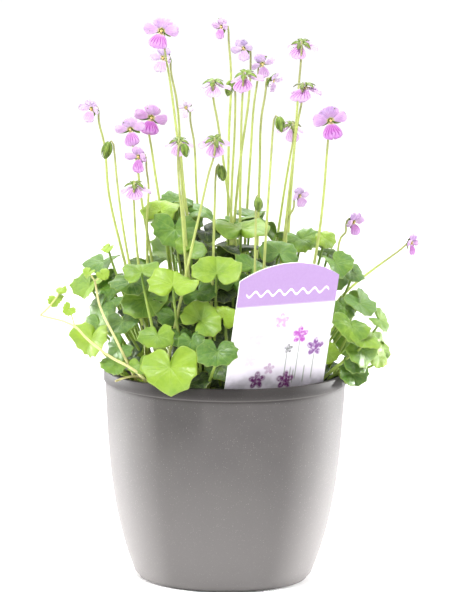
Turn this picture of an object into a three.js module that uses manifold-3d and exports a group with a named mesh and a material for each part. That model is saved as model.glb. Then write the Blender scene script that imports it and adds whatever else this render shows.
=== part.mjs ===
// A potted ivy-leaved violet: a tapered grey pot with a shallow rim band, its potting soil,
// a printed plant label, and the plant itself as separate flowers, buds, leaves and a runner.
//
// Millimetres, +Z up. The origin is the middle of the pot's flat foot, and -Y is the front.

import * as THREE from 'three';
import { mergeVertices } from 'three/addons/utils/BufferGeometryUtils.js';
import Module from 'manifold-3d';

const wasm = await Module();
wasm.setup();

// ---------------------------------------------------------------- driving dimensions

const GAP = 0.3;                 // clearance between pieces that rest on each other

const POT_HEIGHT = 104.8;
const RIM_RADIUS = 60.6;         // outside of the rim band
const BAND_HEIGHT = 6;
const BAND_STEP = 0.8;           // how far the band stands proud of the wall
const BELLY_DROP = 2.4;          // how far the wall has drawn in half-way down
const FOOT_RADIUS = 43;
const WALL = 1.7;
const FLOOR = 2.2;
const DRAIN_RADIUS = 3;
const DRAIN_RING = 29;
const DRAIN_COUNT = 6;
const POT_SIDES = 36;
const WALL_LEVELS = [0.03, 0.1, 0.2, 0.34, 0.5, 0.67, 0.84];  // shares of the wall's height

const SOIL_DEPTH_BELOW_RIM = 10.5;
const SOIL_CROWN = 3;            // the soil is higher in the middle
const SOIL_LUMP = 0.9;

const LABEL_WIDTH = 55.6;
const LABEL_RISE = 55.8;         // rim level to the label's upper corners
const LABEL_ARCH = 8;            // the arched top above those corners
const LABEL_BELOW_RIM = 7;       // rim level down to the card's square lower edge
const LABEL_SPIKE = 42;
const LABEL_SPIKE_WIDTH = 13;
const LABEL_THICK = 0.8;
const LABEL_TURN = 29.5;         // degrees round to the right of the front
const LABEL_LEAN = 14;           // degrees forward
const LABEL_DISTANCE = 48.5;     // from the pot's axis, at rim level

const STALK_RADIUS = 0.6;
const PETIOLE_RADIUS = 0.75;
const RUNNER_RADIUS = 0.8;
const TUBE_SIDES = 5;
const STALK_STEPS = 6;
const PETIOLE_STEPS = 4;
const RUNNER_STEPS = 10;
const FOOT_PULL = 0.45;          // a stalk's foot is this fraction of the way out to its head

const PETAL_THICK = 0.9;
const THROAT_DEPTH = 1.6;
const LEAF_THICK = 0.8;
const LEAF_CUP = 0.07;           // rise of a leaf's edge over its middle, times its width
const LEAF_POINTS = 16;
const BLOOM_POINTS = 10;

// ---------------------------------------------------------------- finishes

function finish(color, roughness) {
  return new THREE.MeshStandardMaterial({ color, roughness, metalness: 0 });
}

const potFinish = finish(0x807d7c, 0.45);
const soilFinish = finish(0x2b2118, 0.95);
const labelFinish = finish(0xe4beff, 0.4);
const leafFinish = finish(0x7fae3c, 0.5);
const petalFinish = finish(0xd79be0, 0.6);
const budFinish = finish(0x8fae55, 0.55);
const runnerFinish = finish(0xcfd89a, 0.5);

// ---------------------------------------------------------------- solids

// A closed three.js geometry becomes a manifold solid once its doubled points are merged.
function solidOf(geometry) {
  const bare = geometry.clone();
  bare.deleteAttribute('normal');
  bare.deleteAttribute('uv');
  const merged = mergeVertices(bare, 1e-3);
  return new wasm.Manifold(new wasm.Mesh({
    numProp: 3,
    vertProperties: new Float32Array(merged.attributes.position.array),
    triVerts: new Uint32Array(merged.index.array),
  }));
}

function geometryOf(solid) {
  const mesh = solid.getMesh();
  const geometry = new THREE.BufferGeometry();
  geometry.setAttribute('position', new THREE.BufferAttribute(mesh.vertProperties, 3));
  geometry.setIndex(new THREE.BufferAttribute(mesh.triVerts, 1));
  geometry.computeVertexNormals();
  return geometry;
}

const violet = new THREE.Group();

function addPiece(name, solid, material) {
  const mesh = new THREE.Mesh(geometryOf(solid), material);
  mesh.name = name;
  violet.add(mesh);
}

const vec = (x, y, z) => new THREE.Vector3(x, y, z);
const radians = THREE.MathUtils.degToRad;

// A direction from a compass turn (0 is the front, 90 the right) and a lift above level.
function direction(turn, lift) {
  const level = Math.cos(radians(lift));
  return vec(
    Math.sin(radians(turn)) * level,
    -Math.cos(radians(turn)) * level,
    Math.sin(radians(lift)),
  );
}

// The frame whose third axis is `out` and whose second is `up`, squared to it.
function frameAt(place, out, up) {
  const across = up.clone().cross(out).normalize();
  const top = out.clone().cross(across);
  return new THREE.Matrix4().makeBasis(across, top, out).setPosition(place);
}

function tube(curve, radius, steps) {
  const section = new THREE.Shape();
  for (let k = 0; k < TUBE_SIDES; k += 1) {
    const angle = (2 * Math.PI * k) / TUBE_SIDES;
    const corner = [radius * Math.cos(angle), radius * Math.sin(angle)];
    if (k === 0) section.moveTo(...corner);
    else section.lineTo(...corner);
  }
  section.closePath();
  return new THREE.ExtrudeGeometry(section, {
    steps, bevelEnabled: false, extrudePath: curve,
  });
}

const curveThrough = (points) => new THREE.CatmullRomCurve3(points, false, 'centripetal');

function turned(profile, sides) {
  const points = profile.map(([radius, height]) => new THREE.Vector2(radius, height));
  return new THREE.LatheGeometry(points, sides).rotateX(Math.PI / 2);
}

// A thin cone-shaped plate: its edge follows `reach(angle)`, and its middle lies `dip` lower.
function plate(count, reach, dip, thickness) {
  const positions = [0, 0, -dip, 0, 0, -dip - thickness];
  for (let k = 0; k < count; k += 1) {
    const angle = (2 * Math.PI * k) / count;
    const x = reach(angle) * Math.cos(angle);
    const y = reach(angle) * Math.sin(angle);
    positions.push(x, y, 0, x, y, -thickness);
  }
  const index = [];
  for (let k = 0; k < count; k += 1) {
    const here = 2 + 2 * k;
    const next = 2 + 2 * ((k + 1) % count);
    index.push(0, here, next);
    index.push(1, next + 1, here + 1);
    index.push(here, here + 1, next, next, here + 1, next + 1);
  }
  const geometry = new THREE.BufferGeometry();
  geometry.setAttribute('position', new THREE.Float32BufferAttribute(positions, 3));
  geometry.setIndex(index);
  return geometry;
}

// ---------------------------------------------------------------- pot

// The wall's outside radius: nearly upright under the band, drawing in faster to the foot.
function wallRadius(height) {
  const top = RIM_RADIUS - BAND_STEP;
  const down = 1 - height / (POT_HEIGHT - BAND_HEIGHT);
  const gentle = 2 * BELLY_DROP * down;
  const rest = top - FOOT_RADIUS - 2 * BELLY_DROP;
  return top - gentle - rest * down ** 3.2;
}

function makePot() {
  const bandBottom = POT_HEIGHT - BAND_HEIGHT;
  const outside = WALL_LEVELS.map((share) => [wallRadius(bandBottom * share), bandBottom * share]);
  const inside = outside.slice(1).reverse().map(([radius, height]) => [radius - WALL, height]);
  const profile = [
    [0, 0],
    [FOOT_RADIUS - 1.4, 0],
    [FOOT_RADIUS - 0.2, 0.9],
    ...outside,
    [wallRadius(bandBottom), bandBottom - 0.4],
    [RIM_RADIUS, bandBottom + 0.4],
    [RIM_RADIUS, POT_HEIGHT - 0.5],
    [RIM_RADIUS - 0.5, POT_HEIGHT],
    [RIM_RADIUS - BAND_STEP - WALL, POT_HEIGHT],
    ...inside,
    [FOOT_RADIUS - WALL - 0.8, FLOOR],
    [0, FLOOR],
  ];
  let pot = solidOf(turned(profile, POT_SIDES));
  for (let k = 0; k < DRAIN_COUNT; k += 1) {
    const angle = (2 * Math.PI * k) / DRAIN_COUNT;
    const drill = new THREE.CylinderGeometry(DRAIN_RADIUS, DRAIN_RADIUS, 3 * FLOOR, 10)
      .rotateX(Math.PI / 2)
      .translate(DRAIN_RING * Math.cos(angle), DRAIN_RING * Math.sin(angle), FLOOR / 2);
    pot = pot.subtract(solidOf(drill));
  }
  return pot;
}

// ---------------------------------------------------------------- label

// The card's outline from the rim level: arched top, square shoulders, pointed spike.
function labelSolid(extra) {
  const half = LABEL_WIDTH / 2 + extra;
  const spike = LABEL_SPIKE_WIDTH / 2 + extra;
  const shoulder = -LABEL_BELOW_RIM - extra;
  const archRadius = (half ** 2 + LABEL_ARCH ** 2) / (2 * LABEL_ARCH);
  const archSpan = Math.asin(half / archRadius);
  const outline = new THREE.Shape();
  outline.moveTo(half, shoulder);
  outline.lineTo(half, LABEL_RISE);
  outline.absarc(0, LABEL_RISE + LABEL_ARCH - archRadius, archRadius,
    Math.PI / 2 - archSpan, Math.PI / 2 + archSpan, false);
  outline.lineTo(-half, shoulder);
  outline.lineTo(-spike, shoulder - 4);
  outline.lineTo(-spike, shoulder - LABEL_SPIKE + 9);
  outline.lineTo(0, shoulder - LABEL_SPIKE - 2 * extra);
  outline.lineTo(spike, shoulder - LABEL_SPIKE + 9);
  outline.lineTo(spike, shoulder - 4);
  outline.closePath();
  const thick = LABEL_THICK + 2 * extra;
  const card = new THREE.ExtrudeGeometry(outline, {
    depth: thick, bevelEnabled: false, curveSegments: 10,
  });
  card.translate(0, 0, -thick / 2);
  const away = direction(LABEL_TURN, 0).multiplyScalar(LABEL_DISTANCE);
  const place = vec(away.x, away.y, POT_HEIGHT);
  card.applyMatrix4(frameAt(place, direction(LABEL_TURN, -LABEL_LEAN), vec(0, 0, 1)));
  return solidOf(card);
}

// ---------------------------------------------------------------- soil

function soilHeight(x, y) {
  const room = wallRadius(POT_HEIGHT - SOIL_DEPTH_BELOW_RIM) - WALL;
  const crown = SOIL_CROWN * (1 - (Math.hypot(x, y) / room) ** 2);
  const lumps = Math.sin(x * 0.31 + 1.2) * Math.cos(y * 0.27) + 0.6 * Math.sin(x * 0.13 - y * 0.22);
  return POT_HEIGHT - SOIL_DEPTH_BELOW_RIM + crown + SOIL_LUMP * lumps;
}

function makeSoil(labelPocket) {
  const surface = POT_HEIGHT - SOIL_DEPTH_BELOW_RIM;
  const room = (height) => wallRadius(height) - WALL - 2 * GAP;
  const sides = WALL_LEVELS.slice(1)
    .map((share) => share * (POT_HEIGHT - BAND_HEIGHT))
    .map((height) => [room(height), height]);
  const top = [1, 0.82, 0.6, 0.4, 0.2].map((share) => [room(surface) * share, surface]);
  const profile = [
    [0, FLOOR + GAP],
    [FOOT_RADIUS - WALL - 3, FLOOR + GAP],
    ...sides,
    ...top,
    [0, surface],
  ];
  const geometry = turned(profile, POT_SIDES);
  const points = geometry.attributes.position;
  for (let k = 0; k < points.count; k += 1) {
    if (points.getZ(k) > surface - 1) {
      points.setZ(k, soilHeight(points.getX(k), points.getY(k)));
    }
  }
  return solidOf(geometry).subtract(labelPocket);
}

// ---------------------------------------------------------------- stalks

function footOf(head, foot) {
  const [x, y] = foot ?? [head.x * FOOT_PULL, head.y * FOOT_PULL];
  return vec(x, y, soilHeight(x, y) + 4 * GAP);
}

// A stalk climbs from its foot to its neck. It leans in at the start and straightens out,
// and `bow` pushes its middle outwards.
function climb(foot, neck, bow) {
  const outward = vec(neck.x, neck.y, 0).normalize();
  return [0.3, 0.65].map((part) => {
    const point = foot.clone().lerp(neck, part);
    return point.addScaledVector(outward, bow * Math.sin(Math.PI * part));
  });
}

// ---------------------------------------------------------------- flowers

// Five petals: two up, two across, and a broader one hanging down.
function bloomReach(width) {
  return (angle) => {
    const lobe = Math.abs(Math.cos(2.5 * (angle + Math.PI / 2))) ** 0.7;
    const longerBelow = 1 - 0.16 * Math.sin(angle);
    return (width / 2) * (0.5 + 0.5 * lobe) * longerBelow;
  };
}

function makeFlower({ at, turn, nod = 0, width, foot, bow = 0 }) {
  const head = vec(...at);
  const out = direction(turn, nod);
  const place = frameAt(head, out, vec(0, 0, 1));
  const onBloom = (x, y, z) => vec(x, y, z).applyMatrix4(place);

  const petals = plate(BLOOM_POINTS, bloomReach(width), THROAT_DEPTH, PETAL_THICK);
  const calyx = new THREE.CylinderGeometry(0.9, 2, 3.2, 6)
    .rotateX(-Math.PI / 2)
    .translate(0, 0, -THROAT_DEPTH - 1.8);

  const start = footOf(head, foot);
  const neck = onBloom(0, 1.5, -7).add(vec(0, 0, -3));
  const route = curveThrough([
    start,
    ...climb(start, neck, bow),
    neck,
    onBloom(0, 2.6, -5.6),
    onBloom(0, 0.6, -THROAT_DEPTH - 2),
  ]);
  const stalk = tube(route, STALK_RADIUS, STALK_STEPS);

  return solidOf(petals.applyMatrix4(place))
    .add(solidOf(calyx.applyMatrix4(place)))
    .add(solidOf(stalk));
}

const flowers = [
  { at: [-34, -15, 275], turn: -16, nod: 4, width: 17, foot: [-8, -8] },
  { at: [-35, 15, 259], turn: -75, width: 14, foot: [-12, 12] },
  { at: [-6, 35, 273], turn: -80, width: 12, foot: [-1, 18] },
  { at: [5, 10, 265], turn: -70, width: 13, foot: [-5, 5] },
  { at: [-7, -10, 250], turn: 172, nod: -12, width: 14, foot: [14, 9] },
  { at: [9, -8, 254], turn: 160, nod: -10, width: 15, foot: [5, 2] },
  { at: [17, 28, 255], turn: 25, width: 13, foot: [4, 14] },
  { at: [23, 5, 249], turn: 62, nod: -15, width: 12, foot: [12, 3] },
  { at: [36, 30, 266], turn: 178, nod: -8, width: 14, foot: [26, 15] },
  { at: [39, -15, 249], turn: 150, nod: -20, width: 15, foot: [20, -10] },
  { at: [50, -25, 233], turn: 8, nod: 6, width: 17, foot: [28, -8], bow: 6 },
  { at: [31, 35, 224], turn: -165, nod: -10, width: 13, foot: [15, 20] },
  { at: [-70, 8, 234], turn: -72, width: 13, foot: [-34, 3], bow: 5 },
  { at: [-49, -5, 225], turn: -16, width: 15, foot: [-29, -5] },
  { at: [-38, 7, 230], turn: 14, nod: 8, width: 16, foot: [-20, 4] },
  { at: [-46, -20, 214], turn: -78, width: 14, foot: [-40, -7] },
  { at: [-45, -24, 200], turn: 172, nod: -22, width: 14, foot: [-36, -4], bow: 2 },
  { at: [-24, -30, 223], turn: 178, nod: -12, width: 13, foot: [-14, -15] },
  { at: [-7, -40, 225], turn: -176, nod: -10, width: 14, foot: [-32, -38] },
  { at: [-22, 40, 231], turn: -30, width: 11, foot: [-10, 24] },
  { at: [36, -20, 195], turn: 40, width: 11, foot: [21, -21] },
  { at: [65, 15, 178], turn: 82, nod: -5, width: 13, foot: [38, 8], bow: 4 },
  { at: [94, 22, 167], turn: 88, nod: -5, width: 11, foot: [38, 15], bow: -10 },
];

// ---------------------------------------------------------------- buds

function makeBud({ at, turn, nod = -60, length, foot, bow = 0 }) {
  const head = vec(...at);
  const out = direction(turn, nod);
  const place = frameAt(head, out, vec(0, 0, 1));
  const body = new THREE.SphereGeometry(1, 8, 6)
    .rotateX(Math.PI / 2)
    .scale(length * 0.27, length * 0.27, length / 2)
    .applyMatrix4(place);
  const start = footOf(head, foot);
  const back = vec(0.2, 0.3, -length * 0.25).applyMatrix4(place);
  const bend = back.clone().addScaledVector(out, -2).add(vec(0, 0, 0.6));
  const neck = back.clone().addScaledVector(direction(turn, 0), -2.6).add(vec(0, 0, -5));
  const route = curveThrough([start, ...climb(start, neck, bow), neck, bend, back]);
  const stalk = tube(route, STALK_RADIUS, STALK_STEPS);
  return solidOf(body).add(solidOf(stalk));
}

const buds = [
  { at: [0, 0, 245], turn: -60, length: 8, foot: [0, 1] },
  { at: [25, -40, 232], turn: 70, length: 8, foot: [14, -38] },
  { at: [-60, -5, 214], turn: -92, length: 9, foot: [-33, -5], bow: 3 },
  { at: [-21, -42, 219], turn: 82, length: 7, foot: [-16, -26] },
  { at: [-3, -34, 207], turn: 60, length: 8, foot: [-9, -35] },
  { at: [15, -43, 193], turn: 22, length: 7.5, foot: [12.4, -44] },
];

// ---------------------------------------------------------------- leaves

// A kidney outline round the point where the petiole meets the blade, which is a deep notch
// at the back. The tip is at 90 degrees.
function leafReach(width) {
  return (angle) => {
    const fromNotch = Math.acos(-Math.sin(angle));
    const notch = Math.exp(-((fromNotch / radians(24)) ** 2));
    const sides = 1 + 0.06 * Math.cos(2 * angle);
    return (width / 2) * sides * (1 - 0.82 * notch);
  };
}

function makeLeaf({ at, turn, lift, spin = 0, width, foot, bow = 0 }) {
  const out = direction(turn, lift);
  const downhill = vec(0, 0, -1).addScaledVector(out, out.z).normalize();
  const tip = downhill.applyAxisAngle(out, radians(spin));
  const joint = vec(...at).addScaledVector(tip, -0.06 * width);
  const place = frameAt(joint, out, tip);
  const dip = LEAF_CUP * width;
  const blade = plate(LEAF_POINTS, leafReach(width), dip, LEAF_THICK).applyMatrix4(place);
  const start = footOf(joint, foot);
  const end = joint.clone().addScaledVector(out, -dip - LEAF_THICK / 2);
  const under = joint.clone().addScaledVector(out, -dip - 4).add(vec(0, 0, -2.5));
  const route = curveThrough([start, ...climb(start, under, bow), under, end]);
  const petiole = tube(route, PETIOLE_RADIUS, PETIOLE_STEPS);
  return solidOf(blade).add(solidOf(petiole));
}

const leaves = [
  { at: [-27, -65, 115], turn: -10, lift: 33, width: 28, foot: [-19, -43], bow: -3 },
  { at: [-34, -53, 129], turn: -16, lift: 32, width: 17, foot: [-24, -36] },
  { at: [-11, -48, 138], turn: 4, lift: 38, spin: 130, width: 21, foot: [-12, -35] },
  { at: [-4, -69, 124], turn: 6, lift: 34, width: 19, foot: [-10, -43], bow: -2 },
  { at: [-1, -44, 139], turn: -15, lift: 25, spin: 160, width: 14, foot: [1, -30] },
  { at: [-26, -50, 156], turn: -4, lift: 52, spin: 180, width: 24, foot: [-18, -32] },
  { at: [-42, -38, 160], turn: -12, lift: 50, spin: 200, width: 18, foot: [-27, -46] },
  { at: [-39, -29, 144], turn: -22, lift: 44, spin: 40, width: 25, foot: [-32, -22] },
  { at: [-5, -42, 161], turn: 2, lift: 42, spin: 180, width: 23, foot: [-6, -28] },
  { at: [13, -32, 162], turn: 14, lift: 48, spin: 150, width: 18, foot: [8, -22] },
  { at: [-26, -22, 177], turn: -5, lift: 28, spin: 0, width: 22, foot: [-14, -9] },
  { at: [-33, -8, 187], turn: -25, lift: 45, spin: 180, width: 19, foot: [-21, -8] },
  { at: [-13, 0, 185], turn: 5, lift: 76, spin: 90, width: 19, foot: [-7, 6] },
  { at: [7, -20, 180], turn: 8, lift: 72, spin: 170, width: 26, foot: [4, -10] },
  { at: [26, -27, 169], turn: 20, lift: 42, spin: 160, width: 20, foot: [16, -19] },
  { at: [38, -3, 171], turn: 30, lift: 62, spin: 20, width: 21, foot: [20, 1] },
  { at: [55, -18, 161], turn: 40, lift: 48, spin: 10, width: 19, foot: [30, -15] },
  { at: [67, -16, 141], turn: 50, lift: 46, spin: 10, width: 20, foot: [38, -8] },
  { at: [62, -30, 132], turn: 35, lift: 48, spin: -20, width: 19, foot: [46, 6] },
  { at: [76, -8, 118], turn: 62, lift: 34, spin: 0, width: 19, foot: [42, -2] },
  { at: [68, -25, 118], turn: 30, lift: 30, spin: 20, width: 19, foot: [42, -15] },
  { at: [51, -25, 117], turn: 30, lift: 12, spin: 10, width: 13, foot: [46, -19] },
  { at: [-69, -10, 147], turn: -48, lift: 40, spin: 0, width: 19, foot: [-37, -6] },
  { at: [-63, 8, 157], turn: -60, lift: 66, spin: 30, width: 19, foot: [-33, 14] },
  { at: [-67, -32, 124], turn: -40, lift: 26, spin: 0, width: 21, foot: [-40, -20] },
  { at: [-44, 56, 134], turn: -142, lift: 42, spin: 0, width: 24, foot: [-26, 32] },
  { at: [34, 60, 138], turn: 150, lift: 40, spin: 0, width: 25, foot: [20, 34] },
];

// ---------------------------------------------------------------- runner

// A pale runner that arches out over the rim on the left, with two young leaves near its tip.
const runnerPath = [
  [-33, -35, 97], [-38, -40, 104], [-44, -45, 111], [-56, -47, 118], [-72, -43, 130], [-82, -33, 140],
  [-91, -34, 136],
];
const youngLeaves = [
  { at: [-83, -32, 147], turn: -30, lift: 30, width: 9, knot: 9 },
  { at: [-75, -40, 139], turn: -10, lift: 40, width: 8, knot: 8 },
];

function makeRunner() {
  const route = curveThrough(runnerPath.map((point) => vec(...point)));
  let runner = solidOf(tube(route, RUNNER_RADIUS, RUNNER_STEPS));
  for (const { at, turn, lift, width, knot } of youngLeaves) {
    const place = frameAt(vec(...at), direction(turn, lift), vec(0, 0, 1));
    const blade = plate(8, () => width / 2, LEAF_CUP * width, LEAF_THICK).applyMatrix4(place);
    const under = vec(0, 0, -LEAF_CUP * width - LEAF_THICK / 2).applyMatrix4(place);
    const stem = tube(curveThrough([route.getPointAt(knot / RUNNER_STEPS), under]), RUNNER_RADIUS / 2, 1);
    runner = runner.add(solidOf(blade)).add(solidOf(stem));
  }
  return runner;
}

// ---------------------------------------------------------------- assembly

const numbered = (word, k) => `${word}_${String(k + 1).padStart(2, '0')}`;

addPiece('pot', makePot(), potFinish);
addPiece('potting_soil', makeSoil(labelSolid(GAP)), soilFinish);
addPiece('plant_label', labelSolid(0), labelFinish);
flowers.forEach((flower, k) => addPiece(numbered('flower', k), makeFlower(flower), petalFinish));
buds.forEach((bud, k) => addPiece(numbered('bud', k), makeBud(bud), budFinish));
leaves.forEach((leaf, k) => addPiece(numbered('leaf', k), makeLeaf(leaf), leafFinish));
addPiece('runner', makeRunner(), runnerFinish);

export default violet;
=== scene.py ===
# %% [markdown]
# # A potted ivy-leaved violet
# This lesson builds the plant round a frame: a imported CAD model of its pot, soil, label, flowers,
# buds, leaves and runner. The frame says where each of them is, and every finer shape made here
# reads its place from there. It is all in metres, Z is up, and the front faces -Y.

# %% Load the frame
import math
import random

import bmesh
import bpy
import numpy as np
from mathutils import Matrix, Vector, noise


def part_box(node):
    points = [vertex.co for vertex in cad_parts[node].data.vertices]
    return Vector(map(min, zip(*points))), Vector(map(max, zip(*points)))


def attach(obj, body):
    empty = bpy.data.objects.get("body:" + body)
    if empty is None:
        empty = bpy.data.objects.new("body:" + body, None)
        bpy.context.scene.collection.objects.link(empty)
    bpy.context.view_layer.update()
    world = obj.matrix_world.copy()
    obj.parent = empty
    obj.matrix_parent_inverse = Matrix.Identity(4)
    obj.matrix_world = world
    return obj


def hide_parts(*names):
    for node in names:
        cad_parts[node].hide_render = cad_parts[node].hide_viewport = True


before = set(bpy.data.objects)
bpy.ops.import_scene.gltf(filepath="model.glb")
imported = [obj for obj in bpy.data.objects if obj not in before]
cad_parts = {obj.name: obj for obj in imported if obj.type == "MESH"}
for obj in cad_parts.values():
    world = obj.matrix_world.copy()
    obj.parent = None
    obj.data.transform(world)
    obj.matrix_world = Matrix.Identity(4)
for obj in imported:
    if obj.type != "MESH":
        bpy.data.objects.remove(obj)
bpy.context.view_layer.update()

for spare in ("Cube", "Light", "Camera"):
    if spare in bpy.data.objects:
        bpy.data.objects.remove(bpy.data.objects[spare])

MM = 0.001
UP = np.array([0.0, 0.0, 1.0])

# %% [markdown]
# ## The camera and the light
# A plant like this is pictured on white, from a little above the rim, with a long lens that keeps
# the pot's sides upright. The studio is a pale floor under a white sky. A key lamp stands above the
# front and a big one behind, and two weak ones shine along the pot's sides. Two narrow beams from
# low behind brighten the sides of its foot.

# %% The camera
def placed(name, data):
    """A new object that shows the data, linked into the scene."""
    thing = bpy.data.objects.new(name, data)
    bpy.context.collection.objects.link(thing)
    return thing


def look_from(place, target, roll):
    """A camera's rotation that looks from place at target, turned by roll about its own axis."""
    facing = (Vector(target) - Vector(place)).to_track_quat("-Z", "Y").to_matrix()
    return (facing.to_4x4() @ Matrix.Rotation(roll, 4, "Z")).to_euler()


CAMERA_PLACE = (-0.00072, -2.2, 0.4815)
CAMERA_AIM = (-0.00072, 0.0, 0.14141)
CAMERA_ROLL = 0.013
camera_data = bpy.data.cameras.new("camera")
camera_data.sensor_fit = "HORIZONTAL"
camera_data.sensor_width = 36
camera_data.lens = 358.2
camera_data.clip_end = 50
camera = placed("camera", camera_data)
camera.location = CAMERA_PLACE
camera.rotation_euler = look_from(CAMERA_PLACE, CAMERA_AIM, CAMERA_ROLL)
bpy.context.scene.camera = camera
print("camera: lens", camera_data.lens, "mm")


# %% The studio lamps and the white sky
def add_lamp(name, kind, bearing, height, distance, aim, watts, **settings):
    """A lamp on a compass bearing (0 is the front, 90 the right), aimed at a height on the axis."""
    lamp = bpy.data.lights.new(name, kind)
    lamp.energy = watts
    for key, value in settings.items():
        setattr(lamp, key, value)
    turn = math.radians(bearing)
    holder = placed(name, lamp)
    holder.location = (distance * math.sin(turn), -distance * math.cos(turn), height)
    holder.rotation_euler = look_from(holder.location, (0, 0, aim), 0)


PLANT_MIDDLE, POT_FOOT = 0.14, 0.012
# For each soft lamp: its bearing, height, distance, size and watts. For each beam: bearing, watts.
for name, bearing, height, distance, size, watts in (
        ("key_lamp", -20, 1.4, 0.7, 0.28, 24), ("left_lamp", -114, 0.4, 0.8, 0.4, 3),
        ("right_lamp", 114, 0.4, 0.8, 0.4, 3), ("back_lamp", 180, 1.1, 0.9, 0.7, 14)):
    add_lamp(name, "AREA", bearing, height, distance, PLANT_MIDDLE, watts, shape="SQUARE", size=size)
for name, bearing, watts in (("left_foot_lamp", -121, 430), ("right_foot_lamp", 121, 480)):
    add_lamp(name, "SPOT", bearing, 0.05, 0.9, POT_FOOT, watts,
             spot_size=math.radians(10.5), spot_blend=1.0, shadow_soft_size=0.12)

sky = bpy.data.worlds.new("white_sky")
sky.use_nodes = True
sky.node_tree.nodes["Background"].inputs["Color"].default_value = (1, 1, 1, 1)
sky.node_tree.nodes["Background"].inputs["Strength"].default_value = 1.06
bpy.context.scene.world = sky
bpy.context.scene.view_settings.view_transform = "Standard"
bpy.context.scene.view_settings.look = "None"

# %% [markdown]
# ## Small tools
# Every finish is painted with nodes. A short helper adds a node and wires or sets its inputs in
# order, so that a finish reads from top to bottom like a recipe.


# %% Helpers for shader nodes
def adder(tree):
    """A function that adds one node to the tree. Values fill its inputs in order; None skips one."""
    def add(kind, *values, out=0, **settings):
        node = tree.nodes.new(kind)
        for key, value in settings.items():
            setattr(node, key, value)
        for socket, value in zip(node.inputs, values):
            if isinstance(value, bpy.types.NodeSocket):
                tree.links.new(value, socket)
            elif value is not None:
                socket.default_value = value
        return node.outputs[out]
    return add


def filler(tree):
    """A function that adds one node to the tree and fills the inputs that it is given by name."""
    def put(kind, inputs, **settings):
        node = tree.nodes.new(kind)
        for key, value in settings.items():
            setattr(node, key, value)
        for key, value in inputs.items():
            if isinstance(value, bpy.types.NodeSocket):
                tree.links.new(value, node.inputs[key])
            else:
                node.inputs[key].default_value = value
        return node.outputs
    return put


def math_in(add):
    """Short forms of the arithmetic nodes for one tree."""
    def calc(operation, *values):
        return add("ShaderNodeMath", *values, operation=operation)

    def blend(factor, first, second, mode="MIX"):
        return add("ShaderNodeMix", factor, None, None, None, None, None, first, second,
                   out=2, data_type="RGBA", blend_type=mode)

    def ease(value, low, high, start=0.0, end=1.0):
        return add("ShaderNodeMapRange", value, low, high, start, end,
                   interpolation_type="SMOOTHSTEP")
    return calc, blend, ease


def shade_group(name, inputs, outputs):
    """An empty shader group with named sockets: (tree, add, its input sockets, its output node)."""
    tree = bpy.data.node_groups.new(name, "ShaderNodeTree")
    for label, kind, value in inputs:
        socket = tree.interface.new_socket(label, in_out="INPUT", socket_type="NodeSocket" + kind)
        if value is not None:
            socket.default_value = value
    for label, kind in outputs:
        tree.interface.new_socket(label, in_out="OUTPUT", socket_type="NodeSocket" + kind)
    add = adder(tree)
    start = tree.nodes.new("NodeGroupInput")
    end = tree.nodes.new("NodeGroupOutput")
    return tree, add, start.outputs, end


def new_finish(name):
    """A material, and the function that adds nodes to it."""
    finish = bpy.data.materials.new(name)
    finish.use_nodes = True
    return finish, adder(finish.node_tree)


def shader_of(finish):
    return finish.node_tree.nodes["Principled BSDF"]


def wire(finish, source, socket):
    finish.node_tree.links.new(source, socket)


def use_group(finish, group, **values):
    """Places a shared group in a finish and sets its inputs by name. Gives back its outputs."""
    node = finish.node_tree.nodes.new("ShaderNodeGroup")
    node.node_tree = group
    for key, value in values.items():
        socket = node.inputs[key.replace("_", " ")]
        if isinstance(value, bpy.types.NodeSocket):
            finish.node_tree.links.new(value, socket)
        else:
            socket.default_value = value
    return node.outputs


def rgb(red, green, blue):
    """A colour as a screen shows it, 0 to 255, turned into the linear values a shader takes."""
    def straight(value):
        value = value / 255
        return value / 12.92 if value <= 0.04045 else ((value + 0.055) / 1.055) ** 2.4
    return (straight(red), straight(green), straight(blue), 1.0)


# %% Helpers for meshes
def as_mesh(name, points, faces, finishes, smooth=True, slots=None, uv=None, **values):
    """A mesh object. uv is one pair for each point, slots a finish number for each face, and any
    other named value is stored as one number for each point."""
    mesh = bpy.data.meshes.new(name)
    mesh.from_pydata([tuple(p) for p in np.asarray(points, float)], [], [tuple(f) for f in faces])
    for finish in finishes:
        mesh.materials.append(finish)
    if slots is not None:
        mesh.polygons.foreach_set("material_index", np.asarray(slots, np.int32))
    if uv is not None:
        layer = mesh.uv_layers.new(name="flat")
        corner = np.empty(len(mesh.loops), np.int32)
        mesh.loops.foreach_get("vertex_index", corner)
        layer.data.foreach_set("uv", np.asarray(uv, np.float32)[corner].ravel())
    for label, value in values.items():
        layer = mesh.attributes.new(label, "FLOAT", "POINT")
        layer.data.foreach_set("value", np.broadcast_to(value, len(points)).astype(np.float32))
    mesh.polygons.foreach_set("use_smooth", np.full(len(mesh.polygons), smooth))
    mesh.update()
    return placed(name, mesh)


def hand_over(piece, slot, *nodes):
    """Finishes a piece: it rides on the root and stands for its CAD nodes. The slot is not used."""
    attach(piece, "root")
    if nodes:
        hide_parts(*nodes)
    return piece


def unit(v):
    v = np.asarray(v, float)
    return v / np.linalg.norm(v)


# %% Helpers for geometry nodes
def new_tree(name, *inputs):
    """A geometry tree with named inputs: (tree, add, its input sockets, its output node)."""
    tree = bpy.data.node_groups.new(name, "GeometryNodeTree")
    tree.interface.new_socket("Shape", in_out="INPUT", socket_type="NodeSocketGeometry")
    for label, kind, value in inputs:
        socket = tree.interface.new_socket(label, in_out="INPUT", socket_type="NodeSocket" + kind)
        if value is not None:
            socket.default_value = value
    tree.interface.new_socket("Shape", in_out="OUTPUT", socket_type="NodeSocketGeometry")
    start = tree.nodes.new("NodeGroupInput")
    end = tree.nodes.new("NodeGroupOutput")
    return tree, adder(tree), start.outputs, end


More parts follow.
